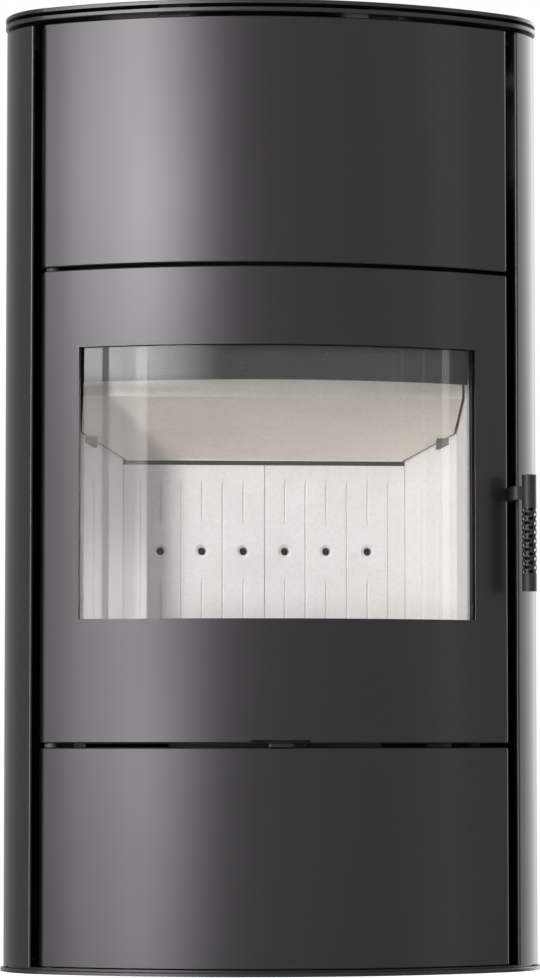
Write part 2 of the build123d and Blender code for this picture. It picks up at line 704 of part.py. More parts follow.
def make_front_plate():
    """Curved front of the firebox with its opening and the row of window air slots."""
    half = CHAMBER_HALF_WIDTH + SHELL_OUTER
    plate = arc_plate(FRONT_PLATE_DEPTH, FIREBOX_DEPTH, -half, half, FIREBOX_BOTTOM, FIREBOX_TOP)
    plate -= block(-OPENING_HALF_WIDTH, OPENING_HALF_WIDTH, FRONT_Y, 0, OPENING_BOTTOM, OPENING_TOP)
    for index in range(AIR_SLOT_COUNT):
        x = (index - (AIR_SLOT_COUNT - 1) / 2) * AIR_SLOT_PITCH
        x0, x1 = x - AIR_SLOT_WIDTH / 2, x + AIR_SLOT_WIDTH / 2
        plate -= block(x0, x1, FRONT_Y, 0, AIR_SLOT_Z - AIR_SLOT_HEIGHT / 2, AIR_SLOT_Z + AIR_SLOT_HEIGHT / 2)
    return plate


def firebox_walls():
    wall = steel_plan(SHELL_OUTER, FIREBOX_DEPTH) - chamber_plan(SHELL_GAP)
    return rise(wall, FIREBOX_BOTTOM, FIREBOX_TOP)


def back_plate_half():
    """Half width of the straight back plate, between the splayed side plates."""
    return max(v.X for v in chamber_plan(SHELL_GAP).vertices() if v.Y > behind(BACK_FACE))


def make_firebox_side():
    """Right side plate with its splayed rear part."""
    return firebox_walls() & block(back_plate_half(), BODY_WIDTH, FRONT_Y, REAR_Y, 0, FIREBOX_TOP)


def make_firebox_back():
    """Back plate with the channel's inlet slots and the slots behind the bricks' air holes."""
    half = back_plate_half()
    plate = firebox_walls() & block(-half, half, 0, REAR_Y, 0, FIREBOX_TOP)
    y0 = behind(BACK_FACE)
    for column in (-1, 0, 1):
        x = column * 1.3 * BACK_INLET_WIDTH
        plate -= block(
            x - BACK_INLET_WIDTH / 2, x + BACK_INLET_WIDTH / 2, y0, REAR_Y,
            BACK_INLET_Z - BACK_INLET_HEIGHT / 2, BACK_INLET_Z + BACK_INLET_HEIGHT / 2,
        )
    x0 = air_hole_places()[0] - AIR_HOLE_RIM_RADIUS
    x1 = air_hole_places()[-1] + AIR_HOLE_RIM_RADIUS
    z0, z1 = AIR_HOLE_HEIGHT - AIR_HOLE_RADIUS, AIR_HOLE_HEIGHT + AIR_HOLE_RADIUS
    return plate - both_sides(block(x0, x1, y0, REAR_Y, z0, z1))


def slide_slots(x_shift, z0, z1):
    """Air slots in the slide, in the plate over it or in the plate under it."""
    y = (behind(SLIDE_FRONT) + behind(SLIDE_BACK)) / 2
    slots = Part()
    for column in (-1, 0, 1):
        x = x_shift + column * SLIDE_SLOT_PITCH
        slots += block(
            x - SLIDE_SLOT_WIDTH / 2, x + SLIDE_SLOT_WIDTH / 2,
            y - SLIDE_SLOT_LENGTH / 2, y + SLIDE_SLOT_LENGTH / 2, z0 - 1, z1 + 1,
        )
    return slots


def make_firebox_bottom():
    plan = steel_plan(SHELL_OUTER, FRONT_PLATE_DEPTH)
    plate = rise(plan, SPACER_TOP, FIREBOX_BOTTOM)
    return plate - slide_slots(0, SPACER_TOP, FIREBOX_BOTTOM)


def make_firebox_floor():
    """Steel floor under the bricks, with the hole that the grate covers."""
    plate = rise(steel_plan(SHELL_GAP, FIREBOX_DEPTH), FLOOR_HEIGHT, FLOOR_TOP)
    half = GRATE_HALF_WIDTH - GRATE_LEDGE
    y0 = behind(GRATE_FRONT + GRATE_LEDGE)
    y1 = behind(GRATE_BACK - GRATE_LEDGE)
    return plate - block(-half, half, y0, y1, FLOOR_HEIGHT - 1, FLOOR_TOP + 1)


def make_firebox_top():
    plate = rise(steel_plan(SHELL_OUTER, FRONT_PLATE_DEPTH), FIREBOX_TOP, FIREBOX_TOP + TOP_THICKNESS)
    return plate - upright(FLUE_BORE_RADIUS + FLUE_WALL, 0, FLUE_Y, FIREBOX_TOP - 1, FIREBOX_TOP + 9)


def air_hole_places():
    """X of the air holes in the right back brick: on every other groove."""
    return [GROOVE_PITCH * k for k in range(1, GROOVE_COUNT + 1, 2)]


def groove_cutter(z0, z1):
    """A V groove along Z at the origin, facing -Y, that runs out to nothing at both ends."""

    def section(z, lift):
        points = [(-GROOVE_MOUTH, -GROOVE_DEPTH - lift), (GROOVE_MOUTH, -GROOVE_DEPTH - lift)]
        points.append((0, GROOVE_DEPTH - lift))
        return Pos(0, 0, z) * make_face(Polyline(*points, close=True))

    low = z0 + GROOVE_RUNOUT
    high = z1 - GROOVE_RUNOUT
    middle = extrude(section(low, 0), amount=high - low)
    bottom = loft([section(z0, GROOVE_DEPTH), section(low, 0)], ruled=True)
    top = loft([section(high, 0), section(z1, GROOVE_DEPTH)], ruled=True)
    return middle + bottom + top


def groove_range():
    return FLOOR_TOP + GROOVE_BOTTOM_MARGIN, BACK_BRICK_TOP - GROOVE_TOP_MARGIN


def make_back_brick():
    """Right back brick: moulded V grooves, and countersunk air holes on every other one."""
    face = behind(BACK_FACE)
    brick = block(
        BRICK_JOINT / 2, BACK_BRICK_HALF - BRICK_CLEARANCE, face, face + BRICK_THICKNESS,
        FLOOR_TOP, BACK_BRICK_TOP,
    )
    low, high = groove_range()
    full = groove_cutter(low, high)
    under_hole = groove_cutter(low, AIR_HOLE_HEIGHT - GROOVE_BREAK)
    over_hole = groove_cutter(AIR_HOLE_HEIGHT + GROOVE_BREAK, high)
    for k in range(1, GROOVE_COUNT + 1):
        place = Pos(GROOVE_PITCH * k, face, 0)
        if GROOVE_PITCH * k in air_hole_places():
            brick -= place * under_hole
            brick -= place * over_hole
        else:
            brick -= place * full
    for x in air_hole_places():
        brick -= lengthwise(AIR_HOLE_RADIUS, face - 1, face + BRICK_THICKNESS + 1, x, AIR_HOLE_HEIGHT)
        sink = Cone(AIR_HOLE_RIM_RADIUS, AIR_HOLE_RADIUS, AIR_HOLE_SINK)
        brick -= Pos(x, face + AIR_HOLE_SINK / 2, AIR_HOLE_HEIGHT) * Rot(-90, 0, 0) * sink
    return brick


def make_side_brick():
    """Right side brick with its splayed, grooved rear part."""
    plan = chamber_plan(BRICK_THICKNESS) - chamber_plan(0)
    plan &= front_disc(FIREBOX_DEPTH + BRICK_CLEARANCE)
    plan &= rect(BACK_BRICK_HALF, BODY_WIDTH, FRONT_Y, REAR_Y)
    brick = rise(plan, FLOOR_TOP, SIDE_BRICK_TOP)
    drop = BACK_FACE - SPLAY_FRONT
    length = hypot(SPLAY_WIDTH, drop)
    low, high = groove_range()
    for step in (1, 2):
        s = step * SPLAY_GROOVE_PITCH / length
        x = BACK_BRICK_HALF + SPLAY_WIDTH * s
        y = behind(BACK_FACE - drop * s)
        turn = -degrees(atan(drop / SPLAY_WIDTH))
        brick -= Pos(x, y, 0) * Rot(0, 0, turn) * groove_cutter(low, high)
    return brick


def make_floor_bricks():
    """Floor slabs round the grate."""
    plan = steel_plan(-BRICK_CLEARANCE, FIREBOX_DEPTH + BRICK_CLEARANCE)
    half = GRATE_HALF_WIDTH + GRATE_CLEARANCE
    y0 = behind(GRATE_FRONT) - GRATE_CLEARANCE
    y1 = behind(GRATE_BACK) + GRATE_CLEARANCE
    far = BODY_WIDTH
    joint = BRICK_JOINT / 2
    pieces = [
        plan & rect(half + joint, far, -far, far),
        plan & rect(-far, -half - joint, -far, far),
        plan & rect(-half + joint, half - joint, -far, y0),
        plan & rect(-half + joint, half - joint, y1, far),
    ]
    return [rise(piece, FLOOR_TOP, BRICK_FLOOR_TOP) for piece in pieces]


def baffle_underside(y):
    """Height of the sloping baffle's underside at a given Y."""
    return BAFFLE_REAR_HEIGHT + BAFFLE_SLOPE * (behind(BACK_FACE) - y)


def sloping_slab(drop_from, drop_to, y0, y1, half):
    """A slab parallel to the baffle's underside, between two heights over it."""
    points = [
        (y0, baffle_underside(y0) + drop_from),
        (y1, baffle_underside(y1) + drop_from),
        (y1, baffle_underside(y1) + drop_to),
        (y0, baffle_underside(y0) + drop_to),
    ]
    side = Plane.YZ * make_face(Polyline(*points, close=True))
    return extrude(side, amount=half, both=True)


def make_baffle():
    """Sloping smoke baffle with a level heel that sits on its rest over the back bricks."""
    rise_over = BAFFLE_THICKNESS * sqrt(1 + BAFFLE_SLOPE ** 2)
    back = behind(BACK_FACE)
    slab = sloping_slab(0, rise_over, behind(BAFFLE_FRONT), back, BODY_WIDTH / 2)
    slab &= rise(chamber_plan(-BAFFLE_SIDE_GAP), FLOOR_TOP, SIDE_BRICK_TOP)
    heel_half = BACK_BRICK_HALF - BAFFLE_SIDE_GAP
    top = BAFFLE_REAR_HEIGHT + rise_over
    back_of_slab = back - BAFFLE_SIDE_GAP - 0.01
    return slab + block(-heel_half, heel_half, back_of_slab, back + BAFFLE_HEEL, BAFFLE_REAR_HEIGHT, top)


def make_baffle_rest():
    """Steel ledge on the back plate, over the back bricks, that the baffle's heel sits on."""
    y0 = behind(BACK_FACE) + BAFFLE_REST_SETBACK
    y1 = behind(BACK_FACE) + SHELL_GAP
    half = BACK_BRICK_HALF - BAFFLE_SIDE_GAP
    z1 = BAFFLE_REAR_HEIGHT
    return block(-half, half, y0, y1, BACK_BRICK_TOP + BAFFLE_REST_GAP, z1)


def make_baffle_tabs():
    """Steel tabs on the splayed bricks, close under the baffle."""
    inside = rise(chamber_plan(0), FLOOR_TOP, SIDE_BRICK_TOP)
    y0 = behind(TAB_CENTRE) - TAB_LENGTH / 2
    y1 = behind(TAB_CENTRE) + TAB_LENGTH / 2
    slab = sloping_slab(-TAB_HEIGHT, 0, y0, y1, BODY_WIDTH / 2) & inside
    wall = BACK_BRICK_HALF + (BACK_FACE - TAB_CENTRE) * SPLAY_WIDTH / (BACK_FACE - SPLAY_FRONT)
    tab = slab & block(wall - TAB_REACH, CHAMBER_HALF_WIDTH, y0, y1, FLOOR_TOP, SIDE_BRICK_TOP)
    return both_sides(tab)


def make_upper_baffle():
    """Level steel plate on the side bricks that sends the smoke to the back."""
    half = CHAMBER_HALF_WIDTH + UPPER_BAFFLE_LAP
    depth = FIREBOX_DEPTH + WINDOW_DUCT_DEPTH + 2
    plan = front_disc(depth) & rect(-half, half, FRONT_Y, behind(UPPER_BAFFLE_REAR))
    return rise(plan, SIDE_BRICK_TOP, SIDE_BRICK_TOP + UPPER_BAFFLE_THICKNESS)


def make_window_duct():
    """Channel behind the front plate that feeds the window air slots."""
    inner_depth = FIREBOX_DEPTH + WINDOW_DUCT_DEPTH
    half = WINDOW_DUCT_HALF
    z0, z1 = WINDOW_DUCT_BOTTOM, WINDOW_DUCT_TOP
    duct = arc_plate(FIREBOX_DEPTH, inner_depth, -half, half, z0, z1)
    half -= DUCT_SHEET
    return duct - arc_plate(
        FIREBOX_DEPTH, inner_depth - DUCT_SHEET, -half, half, z0 + DUCT_SHEET, z1 - DUCT_SHEET,
    )


def make_air_strip():
    """Steel strip behind the top of the glass, with the flange that joins it to the opening's edge."""
    half = STRIP_HALF_WIDTH
    strip = arc_plate(STRIP_DEPTH, STRIP_DEPTH + STRIP_THICKNESS, -half, half, STRIP_BOTTOM, OPENING_TOP)
    return strip + arc_plate(
        STRIP_DEPTH, FIREBOX_DEPTH, -half, half, OPENING_TOP - STRIP_THICKNESS, OPENING_TOP,
    )


def make_grate():
    """Cast grate with a row of slots."""
    y0, y1 = behind(GRATE_FRONT), behind(GRATE_BACK)
    z0, z1 = FLOOR_TOP, FLOOR_TOP + GRATE_THICKNESS
    grate = block(-GRATE_HALF_WIDTH, GRATE_HALF_WIDTH, y0, y1, z0, z1)
    grate = chamfer(grate.edges().filter_by(Axis.Z), 4)
    free = 2 * (GRATE_HALF_WIDTH - GRATE_LEDGE - GRATE_SLOT_MARGIN / 2)
    step = (free - GRATE_SLOT_WIDTH) / (GRATE_SLOT_COUNT - 1)
    slot_length = GRATE_BACK - GRATE_FRONT - 2 * GRATE_SLOT_MARGIN
    slot = Box(GRATE_SLOT_WIDTH, slot_length, 3 * GRATE_THICKNESS)
    for index in range(GRATE_SLOT_COUNT):
        x = (index - (GRATE_SLOT_COUNT - 1) / 2) * step
        grate -= Pos(x, (y0 + y1) / 2, z0) * slot
    return grate


def make_ash_pan():
    """Pressed open pan with a turned-out rim, under the grate."""
    half = GRATE_HALF_WIDTH - GRATE_LEDGE + PAN_SIDE_MARGIN
    y0 = behind(SLIDE_BACK)
    y1 = behind(GRATE_BACK + PAN_SIDE_MARGIN)
    z0 = FIREBOX_BOTTOM
    z1 = z0 + PAN_HEIGHT
    middle = (y0 + y1) / 2
    body = Pos(0, middle, (z0 + z1) / 2) * Box(2 * half, y1 - y0, PAN_HEIGHT)
    body = fillet(body.edges().filter_by(Axis.Z), PAN_CORNER)
    rim = Pos(0, middle) * RectangleRounded(2 * (half + PAN_RIM), y1 - y0 + 2 * PAN_RIM, PAN_CORNER + PAN_RIM)
    pan = body + rise(rim, z1 - PAN_SHEET, z1)
    inner_size = 2 * (half - PAN_SHEET), y1 - y0 - 2 * PAN_SHEET
    hollow = Pos(0, middle) * RectangleRounded(*inner_size, PAN_CORNER - PAN_SHEET)
    return pan - rise(hollow, z0 + PAN_SHEET, z1 + 1)


def store_plan(wall):
    """Plan inside the lower compartment's walls, open at the front."""
    half = STORE_HALF_WIDTH - wall
    depth = FRONT_PLATE_DEPTH - wall
    return front_disc(depth) & rect(-half, half, FRONT_Y, behind(STORE_BACK) - wall)


def duct_mouth():
    """Hole between the valve duct and the rear duct, through the liner's back."""
    half = REAR_DUCT_HALF - 2 * DUCT_SHEET
    z1 = SPACER_BOTTOM - STORE_ROOF
    z0 = z1 - VALVE_DUCT_HEIGHT + DUCT_SHEET
    y = behind(STORE_BACK)
    return block(-half, half, y - 2 * STORE_SHEET, y + 2 * DUCT_SHEET, z0, z1 - DUCT_SHEET)


def make_store_liner():
    """Open-fronted steel box behind the lower door, with the air slots in its roof."""
    liner = rise(store_plan(0), PLINTH_TOP, SPACER_BOTTOM)
    liner -= rise(store_plan(STORE_SHEET), PLINTH_TOP + STORE_SHEET, SPACER_BOTTOM - STORE_ROOF)
    liner -= slide_slots(0, SPACER_BOTTOM - STORE_ROOF, SPACER_BOTTOM)
    return liner - duct_mouth()


def make_valve_duct():
    """Flat channel under the liner's roof, from the back to the air slide."""
    half = SLIDE_HALF_WIDTH + VALVE_DUCT_MARGIN
    y0 = behind(SLIDE_FRONT) - GUIDE_WIDTH
    y1 = behind(STORE_BACK) - STORE_SHEET
    z1 = SPACER_BOTTOM - STORE_ROOF
    z0 = z1 - VALVE_DUCT_HEIGHT
    duct = block(-half, half, y0, y1, z0, z1)
    return duct - block(
        -half + DUCT_SHEET, half - DUCT_SHEET, y0 + DUCT_SHEET, y1 + 1, z0 + DUCT_SHEET, z1 + 1,
    )


def make_rear_duct():
    """Upright channel behind the liner, from the intake to the valve duct."""
    half = REAR_DUCT_HALF
    y0 = behind(STORE_BACK)
    y1 = y0 + REAR_DUCT_DEPTH
    z0, z1 = REAR_DUCT_BOTTOM, SPACER_BOTTOM
    duct = block(-half, half, y0, y1, z0, z1)
    duct -= block(
        -half + DUCT_SHEET, half - DUCT_SHEET, y0 + DUCT_SHEET, y1 - DUCT_SHEET,
        z0 + DUCT_SHEET, z1 - DUCT_SHEET,
    )
    duct -= duct_mouth()
    hole = INTAKE_RADIUS + INTAKE_WALL + CURVE_SEAT
    return duct - lengthwise(hole, y1 - 2 * DUCT_SHEET, y1 + 1, 0, INTAKE_HEIGHT)


def make_air_intake():
    """Round collar, flush with the rear panel, for an outside air pipe."""
    y0 = behind(STORE_BACK) + REAR_DUCT_DEPTH - DUCT_SHEET
    collar = lengthwise(INTAKE_RADIUS + INTAKE_WALL, y0, REAR_Y, 0, INTAKE_HEIGHT)
    return collar - lengthwise(INTAKE_RADIUS, y0 - 1, REAR_Y + 1, 0, INTAKE_HEIGHT)


def make_back_channel():
    """Channel on the outside of the back plate that feeds the bricks' air holes."""
    half = BACK_CHANNEL_HALF
    y0 = behind(BACK_FACE) + SHELL_OUTER
    y1 = y0 + BACK_CHANNEL_DEPTH
    z0, z1 = BACK_CHANNEL_BOTTOM, BACK_CHANNEL_TOP
    channel = block(-half, half, y0, y1, z0, z1)
    return channel - block(
        -half + DUCT_SHEET, half - DUCT_SHEET, y0 - 1, y1 - DUCT_SHEET, z0 + DUCT_SHEET, z1 - DUCT_SHEET,
    )


def make_slide_guides():
    """Rails in front of and behind the air slide, the front one open for the lever."""
    end = SLIDE_HALF_WIDTH + SLIDE_TRAVEL
    z0, z1 = SPACER_BOTTOM, SPACER_TOP
    front_y = behind(SLIDE_FRONT) - SLIDE_CLEARANCE
    back_y = behind(SLIDE_BACK) + SLIDE_CLEARANCE
    gap = NOTCH_HALF_WIDTH
    front = both_sides(block(gap, end, front_y - GUIDE_WIDTH, front_y, z0, z1))
    return front + block(-end, end, back_y, back_y + GUIDE_WIDTH, z0, z1)


def make_body_spacers():
    """Bars that carry the firebox on the liner's roof."""
    x1 = STORE_HALF_WIDTH
    x0 = x1 - BODY_SPACER_WIDTH
    y0, y1 = behind(BODY_SPACER_FRONT), behind(BODY_SPACER_BACK)
    plan = steel_plan(SHELL_OUTER, FRONT_PLATE_DEPTH) & rect(x0, x1, y0, y1)
    return both_sides(rise(plan, SPACER_BOTTOM, SPACER_TOP))


def make_air_slide():
    """Slotted plate that opens and shuts the combustion air. Its slots stand half open at rest."""
    z0 = SPACER_BOTTOM + SLIDE_CLEARANCE
    z1 = SPACER_TOP - SLIDE_CLEARANCE
    plate = block(-SLIDE_HALF_WIDTH, SLIDE_HALF_WIDTH, behind(SLIDE_FRONT), behind(SLIDE_BACK), z0, z1)
    return plate - slide_slots(SLIDE_TRAVEL, z0, z1)


def make_air_lever():
    """Flat lever from the slide to the notch between the doors."""
    z0 = SPACER_BOTTOM + SLIDE_CLEARANCE
    z1 = SPACER_TOP - SLIDE_CLEARANCE
    half = LEVER_WIDTH / 2
    lever = block(-half, half, FRONT_Y - LEVER_TIP_REACH, behind(SLIDE_FRONT), z0, z1)
    tip = lever.edges().filter_by(Axis.Z).sort_by(Axis.Y)[:2]
    return fillet(tip, LEVER_TIP_ROUND)


def make_door_panel():
    """Fire door skin with the window and the notch for the air lever."""
    panel = front_tray(FIRE_DOOR_BOTTOM, FIRE_DOOR_TOP)
    w = WINDOW_HALF_WIDTH
    panel -= block(-w, w, FRONT_Y - 1, arc_y(2 * PANEL_SKIN, w), WINDOW_BOTTOM, WINDOW_TOP)
    points = [
        (-NOTCH_HALF_WIDTH, FIRE_DOOR_BOTTOM - 1),
        (NOTCH_HALF_WIDTH, FIRE_DOOR_BOTTOM - 1),
        (NOTCH_HALF_WIDTH, FIRE_DOOR_BOTTOM),
        (NOTCH_HALF_WIDTH - NOTCH_SLANT, FIRE_DOOR_BOTTOM + NOTCH_HEIGHT),
        (-NOTCH_HALF_WIDTH + NOTCH_SLANT, FIRE_DOOR_BOTTOM + NOTCH_HEIGHT),
        (-NOTCH_HALF_WIDTH, FIRE_DOOR_BOTTOM),
    ]
    notch = Plane.XZ * make_face(Polyline(*points, close=True))
    panel -= Pos(0, FRONT_Y + PANEL_SKIN, 0) * extrude(notch, amount=2 * PANEL_SKIN)
    inner = NOTCH_HALF_WIDTH - NOTCH_SLANT
    z1 = FIRE_DOOR_BOTTOM + PANEL_SKIN + 0.01
    panel -= block(-inner, inner, FRONT_Y + PANEL_SKIN / 2, 0, FIRE_DOOR_BOTTOM - 1, z1)
    panel -= hinge_holes(FIRE_DOOR_BOTTOM, FIRE_DOOR_TOP)
    return panel - crosswise(LATCH_BUSH_RADIUS, HOOK_START, BODY_WIDTH, LATCH_Y, SHAFT_HEIGHT)


def make_lower_door_panel():
    panel = front_tray(LOWER_DOOR_BOTTOM, LOWER_DOOR_TOP)
    return panel - hinge_holes(LOWER_DOOR_BOTTOM, LOWER_DOOR_TOP)


def window_ring(outer_depth, inner_depth, outer, inner):
    """A ring of curved layers round the window; outer and inner are (half width, bottom, top)."""
    ring = arc_plate(outer_depth, inner_depth, -outer[0], outer[0], outer[1], outer[2])
    return ring - block(-inner[0], inner[0], FRONT_Y, ARC_Y, inner[1], inner[2])


def make_door_glass():
    w = GLASS_HALF_WIDTH
    return arc_plate(GLASS_DEPTH, GLASS_DEPTH + GLASS_THICKNESS, -w, w, GLASS_BOTTOM, GLASS_TOP)


def make_glass_gasket():
    outer = (GLASS_HALF_WIDTH, GLASS_BOTTOM, GLASS_TOP)
    lap = GASKET_LAP
    inner = (WINDOW_HALF_WIDTH + lap, WINDOW_BOTTOM - lap, WINDOW_TOP + lap)
    return window_ring(GASKET_DEPTH, GLASS_DEPTH, outer, inner)


def make_inner_frame():
    """Welded frame behind the skin, with the lip that the door rope sits on."""
    half, wall = INNER_FRAME_HALF, INNER_FRAME_WALL
    z0, z1 = INNER_FRAME_BOTTOM, INNER_FRAME_TOP
    outer = (half, z0, z1)
    frame = window_ring(PANEL_SKIN, INNER_FRAME_DEPTH, outer, (half - wall, z0 + wall, z1 - wall))
    lip = (
        half - wall - ROPE_WIDTH,
        z0 + wall + ROPE_WIDTH,
        z1 - wall - ROPE_WIDTH,
    )
    return frame + window_ring(INNER_FRAME_DEPTH - INNER_FRAME_LIP, INNER_FRAME_DEPTH, outer, lip)


def make_door_rope():
    """Woven rope that seals the fire door against the firebox front."""
    half = INNER_FRAME_HALF - INNER_FRAME_WALL
    z0 = INNER_FRAME_BOTTOM + INNER_FRAME_WALL
    z1 = INNER_FRAME_TOP - INNER_FRAME_WALL
    inner = (half - ROPE_WIDTH, z0 + ROPE_WIDTH, z1 - ROPE_WIDTH)
    return window_ring(INNER_FRAME_DEPTH, INNER_FRAME_DEPTH + ROPE_THICKNESS, (half, z0, z1), inner)


def clip_spans():
    """Lower and upper ends of the glass clips, under and over the glass."""
    frame_low = INNER_FRAME_BOTTOM + INNER_FRAME_WALL
    frame_high = INNER_FRAME_TOP - INNER_FRAME_WALL
    return [(frame_low, GLASS_BOTTOM + CLIP_LAP), (GLASS_TOP - CLIP_LAP, frame_high)]


def clip_screw_places():
    """Angle and height of each glass clip's screw."""
    low_z = (INNER_FRAME_BOTTOM + INNER_FRAME_WALL + GLASS_BOTTOM) / 2
    high_z = (INNER_FRAME_TOP - INNER_FRAME_WALL + GLASS_TOP) / 2
    return [(angle, z) for angle in CLIP_ANGLES for z in (low_z, high_z)]


def make_glass_clips():
    clips = Part()
    for angle in CLIP_ANGLES:
        x = (FRONT_RADIUS - CLIP_DEPTH) * sin(radians(angle))
        for z0, z1 in clip_spans():
            clips += arc_plate(
                CLIP_DEPTH, CLIP_DEPTH + CLIP_THICKNESS, x - CLIP_WIDTH / 2, x + CLIP_WIDTH / 2, z0, z1,
            )
    for angle, z in clip_screw_places():
        clips -= bar_at_front(CLIP_STUD_RADIUS, angle, PANEL_SKIN, CLIP_DEPTH + 2 * CLIP_THICKNESS, z)
    return clips


def make_clip_screws():
    """Welded studs with their nuts, one for each glass clip."""
    nut_depth = CLIP_DEPTH + CLIP_THICKNESS
    screws = []
    for angle, z in clip_screw_places():
        stud = bar_at_front(CLIP_STUD_RADIUS, angle, PANEL_SKIN + FLAT_SEAT, nut_depth + CLIP_NUT_HEIGHT, z)
        hexagon = extrude(RegularPolygon(CLIP_NUT_RADIUS, 6), amount=CLIP_NUT_HEIGHT)
        nut = at_front(angle, nut_depth + FLAT_SEAT, z) * hexagon
        screws.append(stud + nut)
    return screws


def make_hinge_bush(flush, into, rest_gap_end):
    """A bush of a door hinge, from the flush end inwards; the other end may stand out as a thrust face."""
    z0, z1 = min(flush, into), max(flush, into)
    if rest_gap_end is not None:
        z0 = rest_gap_end
    bush = upright(BUSH_RADIUS, HINGE_X, HINGE_Y, z0, z1)
    return bush - upright(PIN_RADIUS + PIN_CLEARANCE, HINGE_X, HINGE_Y, z0 - 1, z1 + 1)


def make_fire_door_bushes():
    low = make_hinge_bush(FIRE_DOOR_BOTTOM, FIRE_DOOR_BOTTOM + BUSH_LENGTH, SPACER_TOP + HINGE_REST_GAP)
    high = make_hinge_bush(FIRE_DOOR_TOP, FIRE_DOOR_TOP - BUSH_LENGTH, None)
    return low + high


def make_lower_door_bushes():
    low = make_hinge_bush(LOWER_DOOR_BOTTOM, LOWER_DOOR_BOTTOM + BUSH_LENGTH, PLINTH_TOP + HINGE_REST_GAP)
    high = make_hinge_bush(LOWER_DOOR_TOP, LOWER_DOOR_TOP - BUSH_LENGTH, None)
    return low + high


def hinge_eye(tail_x):
    """Plan of a hinge bracket from the firebox to round the axis."""
    r = BRACKET_EYE_RADIUS
    face = arc_y(FRONT_PLATE_DEPTH, HINGE_X + r) + 2
    points = [(HINGE_X - r, HINGE_Y), (HINGE_X + r, HINGE_Y), (tail_x, face), (HINGE_X + r - 4, face + 9)]
    web = make_face(Polyline(*points, close=True))
    return web + Pos(HINGE_X, HINGE_Y) * Circle(r)


def make_upper_hinge_bracket():
    """Plate in the gap over the fire door, welded to the firebox front."""
    plan = hinge_eye(HINGE_X + BRACKET_TAIL) - front_disc(FRONT_PLATE_DEPTH)
    middle = (FIRE_DOOR_TOP + UPPER_PANEL_BOTTOM) / 2
    z0 = middle - UPPER_BRACKET_THICKNESS / 2
    z1 = middle + UPPER_BRACKET_THICKNESS / 2
    return rise(plan, z0, z1) - upright(PIN_RADIUS, HINGE_X, HINGE_Y, z0 - 1, z1 + 1)


def make_lower_hinge_bracket():
    """Plate in the gap between the doors, held between the liner's roof and the firebox."""
    tail_x = HINGE_X + BRACKET_TAIL
    tail = front_disc(FRONT_PLATE_DEPTH) & rect(-STORE_HALF_WIDTH, tail_x, FRONT_Y, behind(BRACKET_TAIL_BACK))
    plan = (hinge_eye(tail_x) - front_disc(FRONT_PLATE_DEPTH)) + tail
    return rise(plan, SPACER_BOTTOM, SPACER_TOP) - upright(
        PIN_RADIUS, HINGE_X, HINGE_Y, SPACER_BOTTOM - 1, SPACER_TOP + 1,
    )


def make_hinge_pins():
    """One pin over, one between and one under the two doors."""
    middle = (FIRE_DOOR_TOP + UPPER_PANEL_BOTTOM) / 2
    top = middle + UPPER_BRACKET_THICKNESS / 2
    reach = PIN_ENGAGEMENT
    return [
        upright(PIN_RADIUS, HINGE_X, HINGE_Y, FIRE_DOOR_TOP - reach, top),
        upright(PIN_RADIUS, HINGE_X, HINGE_Y, LOWER_DOOR_TOP - reach, FIRE_DOOR_BOTTOM + reach),
        upright(PIN_RADIUS, HINGE_X, HINGE_Y, PLINTH_TOP, LOWER_DOOR_BOTTOM + reach),
    ]


def make_latch_bush():
    """Bush in the door's right flange that the latch shaft turns in."""
    x0 = HOOK_START + HOOK_THICKNESS + HINGE_REST_GAP
    bush = crosswise(LATCH_BUSH_RADIUS, x0, LATCH_BUSH_END, LATCH_Y, SHAFT_HEIGHT)
    return bush - crosswise(SHAFT_RADIUS + SHAFT_CLEARANCE, x0 - 1, LATCH_BUSH_END + 1, LATCH_Y, SHAFT_HEIGHT)


def make_latch_shaft():
    return crosswise(SHAFT_RADIUS, HOOK_START, ARM_START + ARM_THICKNESS, LATCH_Y, SHAFT_HEIGHT)


def make_latch_hook():
    """Hook plate on the shaft's inner end, its nose close under the keeper pin."""
    x0, x1 = HOOK_START, HOOK_START + HOOK_THICKNESS
    nose_top = KEEPER_HEIGHT - KEEPER_PIN_RADIUS - KEEPER_GAP
    reach_y = LATCH_Y + HOOK_REACH
    points = [
        (LATCH_Y - 2, SHAFT_HEIGHT - HOOK_HUB_RADIUS + 0.4),
        (reach_y - 3, nose_top - HOOK_NOSE_DROP),
        (reach_y, nose_top - HOOK_NOSE_DROP + 3),
        (reach_y, nose_top - 1),
        (reach_y - 1, nose_top),
        (LATCH_Y + HOOK_HUB_RADIUS - 3, nose_top),
        (LATCH_Y, SHAFT_HEIGHT + 2),
    ]
    side = make_face(Polyline(*points, close=True)) + Pos(LATCH_Y, SHAFT_HEIGHT) * Circle(HOOK_HUB_RADIUS)
    plate = Pos(x0, 0, 0) * extrude(Plane.YZ * side, amount=x1 - x0)
    return plate - crosswise(SHAFT_RADIUS, x0 - 1, x1 + 1, LATCH_Y, SHAFT_HEIGHT)


def make_latch_keeper():
    """Cheek plate on the firebox front with the keeper pin that the hook goes under."""
    x0 = KEEPER_CHEEK_X
    x1 = x0 + KEEPER_CHEEK
    y0 = KEEPER_Y - KEEPER_PIN_RADIUS - KEEPER_PIN_WALL
    plan = rect(x0, x1, y0, 0) - front_disc(FRONT_PLATE_DEPTH)
    cheek = rise(plan, KEEPER_HEIGHT - KEEPER_HEIGHT_HALF, KEEPER_HEIGHT + KEEPER_HEIGHT_HALF)
    pin_end = HOOK_START + HOOK_THICKNESS + 0.5
    keeper = cheek + crosswise(KEEPER_PIN_RADIUS, x0, pin_end, KEEPER_Y, KEEPER_HEIGHT)
    return keeper - rise(front_disc(FRONT_PLATE_DEPTH), LOWER_DOOR_TOP, UPPER_PANEL_TOP)


